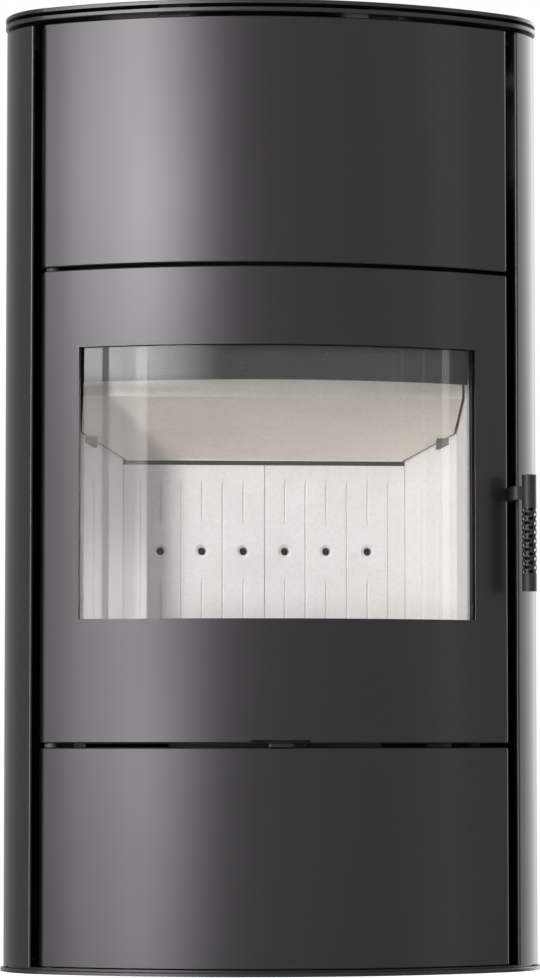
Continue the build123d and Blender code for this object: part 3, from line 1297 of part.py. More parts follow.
def make_handle_arm():
    """Flat bar in the groove, bent round in front of the column to the grip."""
    x0, x1 = ARM_START, ARM_START + ARM_THICKNESS
    y0, y1 = GRIP_Y - ARM_THICKNESS / 2, GRIP_Y + ARM_THICKNESS / 2
    plan = rect(x0, x1, y0, LATCH_Y) + rect(x0, GRIP_X, y0, y1)
    corner = plan.vertices().sort_by(Axis.Y)[:2].sort_by(Axis.X)[0]
    plan = fillet(corner, ARM_BEND)
    z0 = SHAFT_HEIGHT - ARM_HEIGHT / 2
    bar = rise(plan, z0, z0 + ARM_HEIGHT)
    bar += crosswise(ARM_HUB_RADIUS, x0, x1, LATCH_Y, SHAFT_HEIGHT)
    bar -= upright(GRIP_RADIUS, GRIP_X, GRIP_Y, z0 - 1, z0 + ARM_HEIGHT + 1)
    return bar - crosswise(SHAFT_RADIUS, x0 - 1, x1 + 1, LATCH_Y, SHAFT_HEIGHT)


def make_handle_grip():
    """Tube grip with rows of punched holes, each row turned half a step from the next."""
    z0, z1 = GRIP_BOTTOM, GRIP_BOTTOM + GRIP_LENGTH
    grip = upright(GRIP_RADIUS, GRIP_X, GRIP_Y, z0, z1)
    grip -= upright(GRIP_RADIUS - GRIP_WALL, GRIP_X, GRIP_Y, z0 - 1, z1 + 1)
    turn = 360 / GRIP_HOLES_PER_ROW
    punch = extrude(RegularPolygon(GRIP_HOLE_RADIUS, GRIP_HOLE_SIDES), amount=4 * GRIP_WALL)
    for row in range(GRIP_HOLE_ROWS):
        z = z0 + GRIP_HOLE_FIRST + row * GRIP_HOLE_ROW_PITCH
        for hole in range(GRIP_HOLES_PER_ROW):
            angle = turn * (hole + (row % 2) / 2)
            place = Pos(GRIP_X, GRIP_Y, z) * Rot(0, 0, angle) * Pos(GRIP_RADIUS - 2 * GRIP_WALL, 0, 0)
            grip -= place * Rot(0, 90, 0) * punch
    return grip


def make_grip_caps():
    """Turned plugs in both ends of the grip."""
    radius = GRIP_RADIUS - GRIP_WALL
    z0, z1 = GRIP_BOTTOM, GRIP_BOTTOM + GRIP_LENGTH
    return [
        upright(radius, GRIP_X, GRIP_Y, z0, z0 + GRIP_CAP),
        upright(radius, GRIP_X, GRIP_Y, z1 - GRIP_CAP, z1),
    ]


def make_striker():
    """Steel tongue under the lower door's top return, in front of the magnet."""
    x1 = STORE_HALF_WIDTH - STORE_SHEET
    z1 = LOWER_DOOR_TOP - PANEL_SKIN
    y0 = behind(STRIKER_FRONT)
    return block(x1 - CATCH_WIDTH, x1, y0, y0 + STRIKER_THICKNESS, z1 - STRIKER_HEIGHT, z1)


def make_magnet_catch():
    """Magnet block on the liner's side wall that holds the lower door shut."""
    x1 = STORE_HALF_WIDTH - STORE_SHEET
    y0 = behind(STRIKER_FRONT) + STRIKER_THICKNESS + CATCH_GAP
    z1 = LOWER_DOOR_TOP - PANEL_SKIN - (STRIKER_HEIGHT - CATCH_HEIGHT) / 2
    catch = block(x1 - CATCH_WIDTH, x1, y0, y0 + CATCH_LENGTH, z1 - CATCH_HEIGHT, z1)
    return chamfer(catch.edges().filter_by(Axis.Y), 1.5)


def save(name, part):
    """Write one node: a part, or a group of separate solids."""
    solids = []
    for item in part if isinstance(part, list) else [part]:
        solids += item.solids()
    shape = solids[0] if len(solids) == 1 else Compound(children=solids)
    export_step(shape, f"parts/{name}.step")


def mirrored(part):
    return mirror(part, about=Plane.YZ)


def main():
    os.makedirs("parts", exist_ok=True)
    side = make_side_panel()
    firebox_side = make_firebox_side()
    back_brick = make_back_brick()
    side_brick = make_side_brick()

    save("base_plate", make_base_plate())
    save("side_panel_right", side)
    save("side_panel_left", mirrored(side))
    save("rear_panel", make_rear_panel())
    save("rear_rails", make_rear_rails())
    save("rear_screws", make_rear_screws())
    save("upper_front_panel", make_upper_front_panel())
    save("panel_hangers", make_panel_hangers())
    save("rim_plate", make_rim_plate())
    save("plate_spacers", make_plate_pads(UPPER_PANEL_TOP, RIM_BOTTOM) + make_plate_pads(RIM_TOP, TOP_BOTTOM))
    save("top_plate", make_top_plate())
    save("flue_collar", make_flue_collar())

    save("firebox_front", make_front_plate())
    save("firebox_right", firebox_side)
    save("firebox_left", mirrored(firebox_side))
    save("firebox_back", make_firebox_back())
    save("firebox_bottom", make_firebox_bottom())
    save("firebox_floor", make_firebox_floor())
    save("firebox_top", make_firebox_top())
    save("window_air_duct", make_window_duct())
    save("window_air_strip", make_air_strip())
    save("back_air_channel", make_back_channel())
    save("back_brick_right", back_brick)
    save("back_brick_left", mirrored(back_brick))
    save("side_brick_right", side_brick)
    save("side_brick_left", mirrored(side_brick))
    save("floor_bricks", make_floor_bricks())
    save("baffle", make_baffle())
    save("baffle_rest", make_baffle_rest())
    save("baffle_tabs", make_baffle_tabs())
    save("upper_baffle", make_upper_baffle())
    save("grate", make_grate())
    save("ash_pan", make_ash_pan())

    save("store_liner", make_store_liner())
    save("valve_duct", make_valve_duct())
    save("rear_air_duct", make_rear_duct())
    save("air_intake", make_air_intake())
    save("slide_guides", make_slide_guides() + make_body_spacers())
    save("magnet_catch", make_magnet_catch())
    save("latch_keeper", make_latch_keeper())
    save("hinge_brackets", make_upper_hinge_bracket() + make_lower_hinge_bracket())
    save("hinge_pins", make_hinge_pins())

    save("air_slide", make_air_slide() + make_air_lever())

    save("door_panel", make_door_panel())
    save("door_inner_frame", make_inner_frame())
    save("door_glass", make_door_glass())
    save("glass_gasket", make_glass_gasket())
    save("glass_clips", make_glass_clips())
    save("clip_screws", make_clip_screws())
    save("door_rope", make_door_rope())
    save("door_bushes", make_fire_door_bushes() + make_latch_bush())

    save("latch_and_shaft", make_latch_shaft() + make_latch_hook())
    save("handle_arm", make_handle_arm())
    save("handle_grip", make_handle_grip())
    save("grip_caps", make_grip_caps())

    save("lower_door_panel", make_lower_door_panel())
    save("lower_door_bushes", make_lower_door_bushes())
    save("lower_door_striker", make_striker())


main()
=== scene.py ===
import json
import math

import bpy
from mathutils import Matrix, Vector


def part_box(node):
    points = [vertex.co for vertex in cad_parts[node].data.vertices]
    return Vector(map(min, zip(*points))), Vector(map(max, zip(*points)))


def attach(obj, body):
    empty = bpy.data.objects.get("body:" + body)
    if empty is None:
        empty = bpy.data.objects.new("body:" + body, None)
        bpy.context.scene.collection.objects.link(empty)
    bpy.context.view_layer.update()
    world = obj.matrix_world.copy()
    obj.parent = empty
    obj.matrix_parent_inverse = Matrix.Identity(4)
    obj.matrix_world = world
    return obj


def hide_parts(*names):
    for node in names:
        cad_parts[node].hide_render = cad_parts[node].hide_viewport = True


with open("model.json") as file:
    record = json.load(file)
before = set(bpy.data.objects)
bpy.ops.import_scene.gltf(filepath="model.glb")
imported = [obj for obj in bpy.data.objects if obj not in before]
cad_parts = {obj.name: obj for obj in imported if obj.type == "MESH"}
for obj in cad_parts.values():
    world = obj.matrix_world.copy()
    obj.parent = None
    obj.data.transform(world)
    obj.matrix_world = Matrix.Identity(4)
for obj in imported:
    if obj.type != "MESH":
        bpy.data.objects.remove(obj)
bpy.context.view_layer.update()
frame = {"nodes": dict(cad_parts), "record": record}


# Camera

CAMERA_PLACE = (-0.29576, -3.97804, 0.22727)
CAMERA_PITCH = 93.764
CAMERA_HEADING = -4.298
FOCAL_LENGTH = 142.44
SENSOR_WIDTH = 36.0


def make_camera():
    """The camera that stands and looks as in the photograph."""
    data = bpy.data.cameras.new("view")
    data.lens = FOCAL_LENGTH
    data.sensor_width = SENSOR_WIDTH
    data.clip_start = 0.1
    data.clip_end = 60.0
    camera = bpy.data.objects.new("view", data)
    camera.location = CAMERA_PLACE
    camera.rotation_euler = (math.radians(CAMERA_PITCH), 0.0, math.radians(CAMERA_HEADING))
    bpy.context.scene.collection.objects.link(camera)
    bpy.context.scene.camera = camera


make_camera()


# Shader groups

def new_group(name, inputs, outputs):
    """A shader node group with named inputs, given as name: default value."""
    tree = bpy.data.node_groups.new(name, "ShaderNodeTree")
    for label, value in inputs.items():
        kind = "NodeSocketColor" if isinstance(value, tuple) else "NodeSocketFloat"
        socket = tree.interface.new_socket(label, in_out="INPUT", socket_type=kind)
        socket.default_value = value
    for label, kind in outputs.items():
        tree.interface.new_socket(label, in_out="OUTPUT", socket_type=kind)
    return tree, tree.nodes.new("NodeGroupInput"), tree.nodes.new("NodeGroupOutput")


def noise(tree, vector, scale, detail=3.0, roughness=0.5):
    node = tree.nodes.new("ShaderNodeTexNoise")
    node.inputs["Detail"].default_value = detail
    node.inputs["Roughness"].default_value = roughness
    if isinstance(scale, (int, float)):
        node.inputs["Scale"].default_value = scale
    else:
        tree.links.new(scale, node.inputs["Scale"])
    tree.links.new(vector, node.inputs["Vector"])
    return node.outputs["Fac"]


def maths(tree, operation, first, second=None, clamp=False):
    node = tree.nodes.new("ShaderNodeMath")
    node.operation = operation
    node.use_clamp = clamp
    for slot, value in ((0, first), (1, second)):
        if value is None:
            continue
        if isinstance(value, (int, float)):
            node.inputs[slot].default_value = value
        else:
            tree.links.new(value, node.inputs[slot])
    return node.outputs[0]


def times(tree, first, second):
    return maths(tree, "MULTIPLY", first, second)


def plus(tree, first, second):
    return maths(tree, "ADD", first, second)


def minus(tree, first, second):
    return maths(tree, "SUBTRACT", first, second)


def divided(tree, first, second):
    return maths(tree, "DIVIDE", first, second)


def remap(tree, value, low, high, out_low, out_high):
    node = tree.nodes.new("ShaderNodeMapRange")
    node.clamp = True
    for label, number in (("From Min", low), ("From Max", high), ("To Min", out_low), ("To Max", out_high)):
        if isinstance(number, (int, float)):
            node.inputs[label].default_value = number
        else:
            tree.links.new(number, node.inputs[label])
    tree.links.new(value, node.inputs["Value"])
    return node.outputs["Result"]


def mix_colour(tree, factor, first, second):
    node = tree.nodes.new("ShaderNodeMix")
    node.data_type = "RGBA"
    for label, value in (("Factor", factor), ("A", first), ("B", second)):
        socket = [s for s in node.inputs if s.name == label and s.enabled][0]
        if isinstance(value, tuple):
            socket.default_value = value
        elif isinstance(value, (int, float)):
            socket.default_value = value
        else:
            tree.links.new(value, socket)
    return [s for s in node.outputs if s.enabled][0]


def object_place(tree):
    return tree.nodes.new("ShaderNodeTexCoord").outputs["Object"]


def make_paint_grain():
    """Fine orange peel, slow clouding and a dust film for painted steel."""
    tree, given, out = new_group(
        "paint_grain",
        {
            "Colour": (0.02, 0.02, 0.02, 1.0), "Grain Scale": 900.0,
            "Gloss Low": 0.28, "Gloss High": 0.34, "Dust": 0.1,
        },
        {"Colour": "NodeSocketColor", "Roughness": "NodeSocketFloat", "Height": "NodeSocketFloat"},
    )
    place = object_place(tree)
    peel = noise(tree, place, given.outputs["Grain Scale"], 2.0)
    cloud = noise(tree, place, 6.0, 4.0)
    speck = noise(tree, place, 2200.0, 1.0)
    dust = times(tree, remap(tree, speck, 0.62, 0.8, 0.0, 1.0), given.outputs["Dust"])
    dust = times(tree, dust, remap(tree, cloud, 0.15, 0.9, 0.0, 1.0))
    lighter = mix_colour(tree, dust, given.outputs["Colour"], (0.22, 0.21, 0.20, 1.0))
    tree.links.new(lighter, out.inputs["Colour"])
    gloss = remap(tree, cloud, 0.15, 0.85, given.outputs["Gloss Low"], given.outputs["Gloss High"])
    tree.links.new(gloss, out.inputs["Roughness"])
    tree.links.new(peel, out.inputs["Height"])
    return tree


def make_pressed_grain():
    """Flaky grain of pressed vermiculite board."""
    tree, given, out = new_group(
        "pressed_grain",
        {"Pale": (0.8, 0.78, 0.72, 1.0), "Dark": (0.6, 0.57, 0.5, 1.0), "Flake Scale": 420.0, "Soot": 0.0},
        {"Colour": "NodeSocketColor", "Roughness": "NodeSocketFloat", "Height": "NodeSocketFloat"},
    )
    place = object_place(tree)
    flakes = tree.nodes.new("ShaderNodeTexVoronoi")
    tree.links.new(given.outputs["Flake Scale"], flakes.inputs["Scale"])
    tree.links.new(place, flakes.inputs["Vector"])
    tint = tree.nodes.new("ShaderNodeSeparateColor")
    tree.links.new(flakes.outputs["Color"], tint.inputs["Color"])
    fine = noise(tree, place, 1500.0, 3.0)
    broad = noise(tree, place, 14.0, 4.0)
    amount = times(tree, remap(tree, tint.outputs[0], 0.35, 1.0, 0.0, 0.55), fine)
    amount = maths(tree, "ADD", amount, remap(tree, broad, 0.45, 0.8, 0.0, 0.35), clamp=True)
    body = mix_colour(tree, amount, given.outputs["Pale"], given.outputs["Dark"])
    soot_and_shade = times(tree, remap(tree, broad, 0.3, 0.75, 0.0, 1.0), given.outputs["Soot"])
    tree.links.new(mix_colour(tree, soot_and_shade, body, (0.05, 0.045, 0.04, 1.0)), out.inputs["Colour"])
    tree.links.new(remap(tree, fine, 0.3, 0.7, 0.82, 0.97), out.inputs["Roughness"])
    tree.links.new(plus(tree, fine, tint.outputs[0]), out.inputs["Height"])
    return tree


def make_painted_board_shade():
    """Painted shade on a board: darker up its height, and a thin painted shadow line where its slanted
    sides meet the bricks.
    """
    tree, given, out = new_group(
        "painted_board_shade",
        {
            "Colour": (0.6, 0.55, 0.5, 1.0), "Front": -0.0193, "Rear": 0.0352, "Front Half Width": 0.1926,
            "Rear Half Width": 0.145, "Seam Shade Width": 0.0006, "Top": 0.604, "Bottom": 0.521, "Fade": 0.3,
        },
        {"Colour": "NodeSocketColor"},
    )
    place = tree.nodes.new("ShaderNodeSeparateXYZ")
    tree.links.new(object_place(tree), place.inputs["Vector"])
    edge = remap(
        tree, place.outputs["Y"], given.outputs["Front"], given.outputs["Rear"],
        given.outputs["Front Half Width"], given.outputs["Rear Half Width"],
    )
    inward = minus(tree, edge, maths(tree, "ABSOLUTE", place.outputs["X"]))
    line_width = given.outputs["Seam Shade Width"]
    # Painted shadow line along the seams with the side bricks.
    seam_shade = remap(tree, inward, line_width, times(tree, line_width, 2.0), 1.0, 0.0)
    # Painted shade that darkens the board towards its top.
    height = remap(tree, place.outputs["Z"], given.outputs["Bottom"], given.outputs["Top"], 0.0, 1.0)
    height_shade = times(tree, height, given.outputs["Fade"])
    body = mix_colour(tree, height_shade, given.outputs["Colour"], (0.22, 0.19, 0.15, 1.0))
    tree.links.new(mix_colour(tree, seam_shade, body, (0.03, 0.025, 0.02, 1.0)), out.inputs["Colour"])
    return tree


def make_brushed_lines():
    """Fine lines along X and slow tarnish for bright steel."""
    tree, given, out = new_group(
        "brushed_lines",
        {"Colour": (0.5, 0.5, 0.5, 1.0), "Tarnish": 0.2, "Gloss Low": 0.22, "Gloss High": 0.42},
        {"Colour": "NodeSocketColor", "Roughness": "NodeSocketFloat", "Height": "NodeSocketFloat"},
    )
    stretch = tree.nodes.new("ShaderNodeMapping")
    stretch.inputs["Scale"].default_value = (30.0, 900.0, 900.0)
    tree.links.new(object_place(tree), stretch.inputs["Vector"])
    lines = noise(tree, stretch.outputs["Vector"], 1.0, 2.0)
    cloud = noise(tree, object_place(tree), 18.0, 4.0)
    tarnish = times(tree, remap(tree, cloud, 0.4, 0.75, 0.0, 1.0), given.outputs["Tarnish"])
    tarnished = mix_colour(tree, tarnish, given.outputs["Colour"], (0.16, 0.14, 0.12, 1.0))
    tree.links.new(tarnished, out.inputs["Colour"])
    gloss = remap(tree, lines, 0.3, 0.7, given.outputs["Gloss Low"], given.outputs["Gloss High"])
    tree.links.new(gloss, out.inputs["Roughness"])
    tree.links.new(lines, out.inputs["Height"])
    return tree


paint_grain = make_paint_grain()
pressed_grain = make_pressed_grain()
brushed_lines = make_brushed_lines()
painted_board_shade = make_painted_board_shade()


# Materials

def grouped_material(name, group, values, bump, bump_distance, **plain):
    """A Principled material whose colour, roughness and height come from one group.

    The plain values go straight to the sockets of the same names.
    """
    material = bpy.data.materials.new(name)
    material.use_nodes = True
    tree = material.node_tree
    shader = tree.nodes["Principled BSDF"]
    effect = tree.nodes.new("ShaderNodeGroup")
    effect.node_tree = group
    for label, value in values.items():
        effect.inputs[label].default_value = value
    tree.links.new(effect.outputs["Colour"], shader.inputs["Base Color"])
    tree.links.new(effect.outputs["Roughness"], shader.inputs["Roughness"])
    relief = tree.nodes.new("ShaderNodeBump")
    relief.inputs["Strength"].default_value = bump
    relief.inputs["Distance"].default_value = bump_distance
    tree.links.new(effect.outputs["Height"], relief.inputs["Height"])
    tree.links.new(relief.outputs["Normal"], shader.inputs["Normal"])
    for label, value in plain.items():
        shader.inputs[label.replace("_", " ")].default_value = value
    return material


def grey(level, warm=0.0):
    """A grey colour, a little warmer by the given share."""
    return (level * (1 + warm), level, level * (1 - warm), 1.0)


finishes = {
    "satin_steel": grouped_material(
        "satin_black_paint", paint_grain,
        {
            "Colour": (0.0112, 0.0105, 0.0112, 1.0), "Grain Scale": 900.0,
            "Gloss Low": 0.27, "Gloss High": 0.31, "Dust": 0.05,
        },
        0.06, 0.0002, Specular_IOR_Level=0.38, Specular_Tint=(1.0, 0.955, 1.0, 1.0),
    ),
    "matt_steel": grouped_material(
        "matt_black_paint", paint_grain,
        {
            "Colour": grey(0.012), "Grain Scale": 1400.0,
            "Gloss Low": 0.46, "Gloss High": 0.56, "Dust": 0.1,
        },
        0.2, 0.0003, Specular_IOR_Level=0.3,
    ),
    "firebox_steel": grouped_material(
        "firebox_paint", paint_grain,
        {
            "Colour": grey(0.03, 0.03), "Grain Scale": 700.0,
            "Gloss Low": 0.5, "Gloss High": 0.7, "Dust": 0.3,
        },
        0.2, 0.0004,
    ),
    "bare_steel": grouped_material(
        "bright_steel", brushed_lines,
        {"Colour": grey(0.42, 0.02), "Tarnish": 0.3, "Gloss Low": 0.26, "Gloss High": 0.4},
        0.05, 0.0001, Metallic=1.0,
    ),
    "zinc_steel": grouped_material(
        "zinc_plated_steel", brushed_lines,
        {"Colour": (0.47, 0.48, 0.5, 1.0), "Tarnish": 0.35, "Gloss Low": 0.34, "Gloss High": 0.5},
        0.04, 0.0001, Metallic=1.0,
    ),
    "dark_steel": grouped_material(
        "oiled_dark_steel", brushed_lines,
        {
            "Colour": (0.034, 0.0325, 0.034, 1.0), "Tarnish": 0.1,
            "Gloss Low": 0.27, "Gloss High": 0.31,
        },
        0.03, 0.0001, Metallic=1.0,
    ),
    "fire_brick": grouped_material(
        "pale_fire_brick", pressed_grain,
        {
            "Pale": (0.74, 0.715, 0.7, 1.0), "Dark": (0.6, 0.565, 0.53, 1.0),
            "Flake Scale": 420.0, "Soot": 0.0,
        },
        0.3, 0.0006,
    ),
    "baffle_board": grouped_material(
        "beige_baffle_board", pressed_grain,
        {
            "Pale": (0.83, 0.78, 0.71, 1.0), "Dark": (0.635, 0.585, 0.52, 1.0),
            "Flake Scale": 380.0, "Soot": 0.0,
        },
        0.3, 0.0006,
    ),
    "cast_iron": grouped_material(
        "cast_iron", paint_grain,
        {
            "Colour": grey(0.035, 0.02), "Grain Scale": 500.0,
            "Gloss Low": 0.5, "Gloss High": 0.72, "Dust": 0.3,
        },
        0.5, 0.0006,
    ),
    "rope": grouped_material(
        "sooty_glass_fibre", paint_grain,
        {
            "Colour": grey(0.05), "Grain Scale": 1800.0,
            "Gloss Low": 0.8, "Gloss High": 0.95, "Dust": 0.2,
        },
        0.6, 0.0005,
    ),
    "magnet": grouped_material(
        "black_moulding", paint_grain,
        {
            "Colour": grey(0.02), "Grain Scale": 1200.0,
            "Gloss Low": 0.4, "Gloss High": 0.5, "Dust": 0.1,
        },
        0.1, 0.0002,
    ),
}


def make_glass():
    """Clear ceramic glass. Shadow rays go straight through it, so the lamps light the chamber."""
    material = bpy.data.materials.new("fire_glass")
    material.use_nodes = True
    tree = material.node_tree
    shader = tree.nodes["Principled BSDF"]
    shader.inputs["Base Color"].default_value = (0.985, 0.98, 0.985, 1.0)
    shader.inputs["Roughness"].default_value = 0.0
    shader.inputs["IOR"].default_value = 1.38
    shader.inputs["Transmission Weight"].default_value = 1.0
    clear = tree.nodes.new("ShaderNodeBsdfTransparent")
    path = tree.nodes.new("ShaderNodeLightPath")
    choose = tree.nodes.new("ShaderNodeMixShader")
    tree.links.new(path.outputs["Is Shadow Ray"], choose.inputs["Fac"])
    tree.links.new(shader.outputs["BSDF"], choose.inputs[1])
    tree.links.new(clear.outputs["BSDF"], choose.inputs[2])
    tree.links.new(choose.outputs["Shader"], tree.nodes["Material Output"].inputs["Surface"])
    return material


def paint_board_shade(material):
    """The board's colour goes through the group that paints shade up its height and along its seams."""
    tree = material.node_tree
    shader = tree.nodes["Principled BSDF"]
    colour = shader.inputs["Base Color"].links[0].from_socket
    soot_and_shade = tree.nodes.new("ShaderNodeGroup")
    soot_and_shade.node_tree = painted_board_shade
    tree.links.new(colour, soot_and_shade.inputs["Colour"])
    tree.links.new(soot_and_shade.outputs["Colour"], shader.inputs["Base Color"])


# The baffle board gets painted shade: darker towards its top, with a dark line along its seams with the
# bricks.
paint_board_shade(finishes["baffle_board"])
finishes["glass"] = make_glass()

# The rod inside the grip, which hardly shows through the holes, is near black as painted shade in the
# holes; the pins of the hinges are near black too.
near_black_steel = grouped_material(
    "near_black_steel", brushed_lines,
    {"Colour": grey(0.006), "Tarnish": 0.0, "Gloss Low": 0.4, "Gloss High": 0.5},
    0.05, 0.0001, Metallic=1.0,
)

# Small brackets that the fire has dulled.
dulled_steel = grouped_material(
    "dulled_steel", brushed_lines,
    {"Colour": grey(0.2, 0.02), "Tarnish": 0.5, "Gloss Low": 0.45, "Gloss High": 0.6},
    0.05, 0.0001, Metallic=1.0,
)

slot_of = {entry["node"]: entry["material_slot"] for entry in frame["record"]["subparts"]}


def carry_over_nodes():
    """Every piece gets the finish of its material, apart from two that are darker than new steel."""
    darkened = {"baffle_tabs": dulled_steel, "hinge_pins": near_black_steel}
    for name, node in frame["nodes"].items():
        node.data.materials.clear()
        node.data.materials.append(darkened.get(name, finishes[slot_of[name]]))


carry_over_nodes()


# Geometry trees

def geometry_tree(name, inputs):
    """A geometry node tree that starts from no mesh, with named inputs given as name: default value."""
    tree = bpy.data.node_groups.new(name, "GeometryNodeTree")
    tree.interface.new_socket("Geometry", in_out="INPUT", socket_type="NodeSocketGeometry")
    tree.interface.new_socket("Geometry", in_out="OUTPUT", socket_type="NodeSocketGeometry")
    for label, value in inputs.items():
        kind = "NodeSocketInt" if isinstance(value, int) else "NodeSocketFloat"
        tree.interface.new_socket(label, in_out="INPUT", socket_type=kind).default_value = value
    given = tree.nodes.new("NodeGroupInput").outputs
    return tree, given, tree.nodes.new("NodeGroupOutput")


def place_node(tree, kind, inputs=None, **settings):
    """A node with its settings, and its inputs linked or set by name or number."""
    node = tree.nodes.new(kind)
    for label, value in settings.items():
        setattr(node, label, value)
    for label, value in (inputs or {}).items():
        socket = node.inputs[label]
        if isinstance(value, bpy.types.NodeSocket):
            tree.links.new(value, socket)
        else:
            socket.default_value = value
    return node


def vector(tree, x, y, z):
    return place_node(tree, "ShaderNodeCombineXYZ", {"X": x, "Y": y, "Z": z}).outputs[0]


def split_place(tree):
    where = tree.nodes.new("GeometryNodeInputPosition").outputs[0]
    node = place_node(tree, "ShaderNodeSeparateXYZ", {"Vector": where})
    return node.outputs["X"], node.outputs["Y"], node.outputs["Z"]


def moved(tree, geometry, place):
    return place_node(tree, "GeometryNodeSetPosition", {"Geometry": geometry, "Position": place}).outputs[0]


def joined(tree, *parts):
    node = tree.nodes.new("GeometryNodeJoinGeometry")
    for part in parts:
        tree.links.new(part, node.inputs[0])
    return node.outputs[0]


def finish_tree(tree, out, geometry, material):
    whole = place_node(tree, "GeometryNodeRealizeInstances", {"Geometry": geometry}).outputs[0]
    dressed = place_node(tree, "GeometryNodeSetMaterial", {"Geometry": whole, "Material": material})
    tree.links.new(dressed.outputs[0], out.inputs[0])


def grown(name, tree, values, sharp_angle=35.0):
    """The plain mesh that a tree makes with these values for its named inputs."""
    seed = bpy.data.objects.new(name + "_seed", bpy.data.meshes.new(name + "_seed"))
    bpy.context.scene.collection.objects.link(seed)
    modifier = seed.modifiers.new("tree", "NODES")
    modifier.node_group = tree
    for item in tree.interface.items_tree:
        if item.in_out == "INPUT" and item.name in values:
            modifier[item.identifier] = values[item.name]
    graph = bpy.context.evaluated_depsgraph_get()
    mesh = bpy.data.meshes.new_from_object(seed.evaluated_get(graph))
    bpy.data.objects.remove(seed)
    return dressed_piece(name, mesh, sharp_angle)


def dressed_piece(name, mesh, sharp_angle=35.0):
    mesh.name = name
    mesh.shade_smooth()
    mesh.set_sharp_from_angle(angle=math.radians(sharp_angle))
    piece = bpy.data.objects.new(name, mesh)
    bpy.context.scene.collection.objects.link(piece)
    return piece


def stands_for(piece, body, slot, *nodes):
    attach(piece, body)
    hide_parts(*nodes)


# Woven seals of the fire door

FRONT_RADIUS = 0.445
ARC_Y = -0.1925 + FRONT_RADIUS


def make_woven_seal_tree():
    """A closed woven cord laid round the window, flat at first and then bent to the bowed front."""
    tree, given, out = geometry_tree("woven_seal", {
        "Half Width": 0.2, "Bottom": 0.3, "Top": 0.6, "Corner Radius": 0.01, "Depth": 0.03,
        "Across": 0.01, "Through": 0.01, "Strands": 6, "Strand Pitch": 0.012,
        "Relief": 0.0004, "Step": 0.0015,
    })
    width = times(tree, given["Half Width"], 2.0)
    height = minus(tree, given["Top"], given["Bottom"])
    middle = times(tree, plus(tree, given["Top"], given["Bottom"]), 0.5)
    path = place_node(tree, "GeometryNodeCurvePrimitiveQuadrilateral", {"Width": width, "Height": height})
    rounded = place_node(
        tree, "GeometryNodeFilletCurve",
        {"Curve": path.outputs[0], "Radius": given["Corner Radius"], "Count": 8}, mode="POLY",
    )
    even = place_node(
        tree, "GeometryNodeResampleCurve",
        {"Curve": rounded.outputs[0], "Length": given["Step"]}, mode="LENGTH",
    )
    level = place_node(tree, "GeometryNodeSetCurveNormal", {"Curve": even.outputs[0]}, mode="Z_UP")
    along = tree.nodes.new("GeometryNodeSplineParameter")
    keep_along = tree.nodes.new("GeometryNodeCaptureAttribute")
    keep_along.capture_items.new("FLOAT", "Along")
    tree.links.new(level.outputs[0], keep_along.inputs["Geometry"])
    tree.links.new(along.outputs["Factor"], keep_along.inputs["Along"])
    ring = place_node(tree, "GeometryNodeCurvePrimitiveCircle", {"Resolution": 24, "Radius": 0.5})
    x, y, _ = split_place(tree)
    section = moved(tree, ring.outputs[0], vector(
        tree, times(tree, x, given["Across"]), times(tree, y, given["Through"]), 0.0,
    ))
    around = tree.nodes.new("GeometryNodeSplineParameter")
    keep_around = tree.nodes.new("GeometryNodeCaptureAttribute")
    keep_around.capture_items.new("FLOAT", "Around")
    tree.links.new(section, keep_around.inputs["Geometry"])
    tree.links.new(around.outputs["Factor"], keep_around.inputs["Around"])
    cord = place_node(tree, "GeometryNodeCurveToMesh", {
        "Curve": keep_along.outputs["Geometry"], "Profile Curve": keep_around.outputs["Geometry"],
    })
    total = place_node(tree, "GeometryNodeCurveLength", {"Curve": even.outputs[0]}).outputs[0]
    turns = maths(tree, "ROUND", divided(tree, total, given["Strand Pitch"]))
    run = times(tree, keep_along.outputs["Along"], turns)
    twist = times(tree, keep_around.outputs["Around"], given["Strands"])
    full = 2 * math.pi
    right = maths(tree, "SINE", times(tree, plus(tree, run, twist), full))
    left = maths(tree, "SINE", times(tree, minus(tree, run, twist), full))
    weave = minus(tree, maths(tree, "MAXIMUM", right, left), 0.7)
    lift = times(tree, weave, given["Relief"])
    normal = tree.nodes.new("GeometryNodeInputNormal").outputs[0]
    push = place_node(tree, "ShaderNodeVectorMath", {0: normal, "Scale": lift}, operation="SCALE")
    woven = place_node(
        tree, "GeometryNodeSetPosition", {"Geometry": cord.outputs[0], "Offset": push.outputs[0]},
    ).outputs[0]
    x, y, z = split_place(tree)
    depth = plus(tree, given["Depth"], z)
    reach = minus(tree, FRONT_RADIUS, depth)
    back = maths(tree, "SQRT", minus(
        tree, times(tree, reach, reach), times(tree, x, x),
    ))
    bowed = moved(tree, woven, vector(
        tree, x, minus(tree, ARC_Y, back), plus(tree, y, middle),
    ))
    finish_tree(tree, out, bowed, finishes["rope"])
    return tree


def make_seals():
    tree = make_woven_seal_tree()
    rope = grown("door_rope_woven", tree, {
        "Half Width": 0.202, "Bottom": 0.325, "Top": 0.645, "Corner Radius": 0.012, "Depth": 0.03035,
        "Across": 0.0093, "Through": 0.0100, "Strands": 5, "Strand Pitch": 0.011,
        "Relief": 0.0005, "Step": 0.0013,
    }, 180.0)
    stands_for(rope, "fire_door", "rope", "door_rope")
    tape = grown("glass_tape_woven", tree, {
        "Half Width": 0.20225, "Bottom": 0.34425, "Top": 0.62700, "Corner Radius": 0.004, "Depth": 0.004575,
        "Across": 0.0055, "Through": 0.0024, "Strands": 7, "Strand Pitch": 0.006,
        "Relief": 0.0002, "Step": 0.0015,
    }, 180.0)
    stands_for(tape, "fire_door", "rope", "glass_gasket")


make_seals()


# Perforated grip of the handle

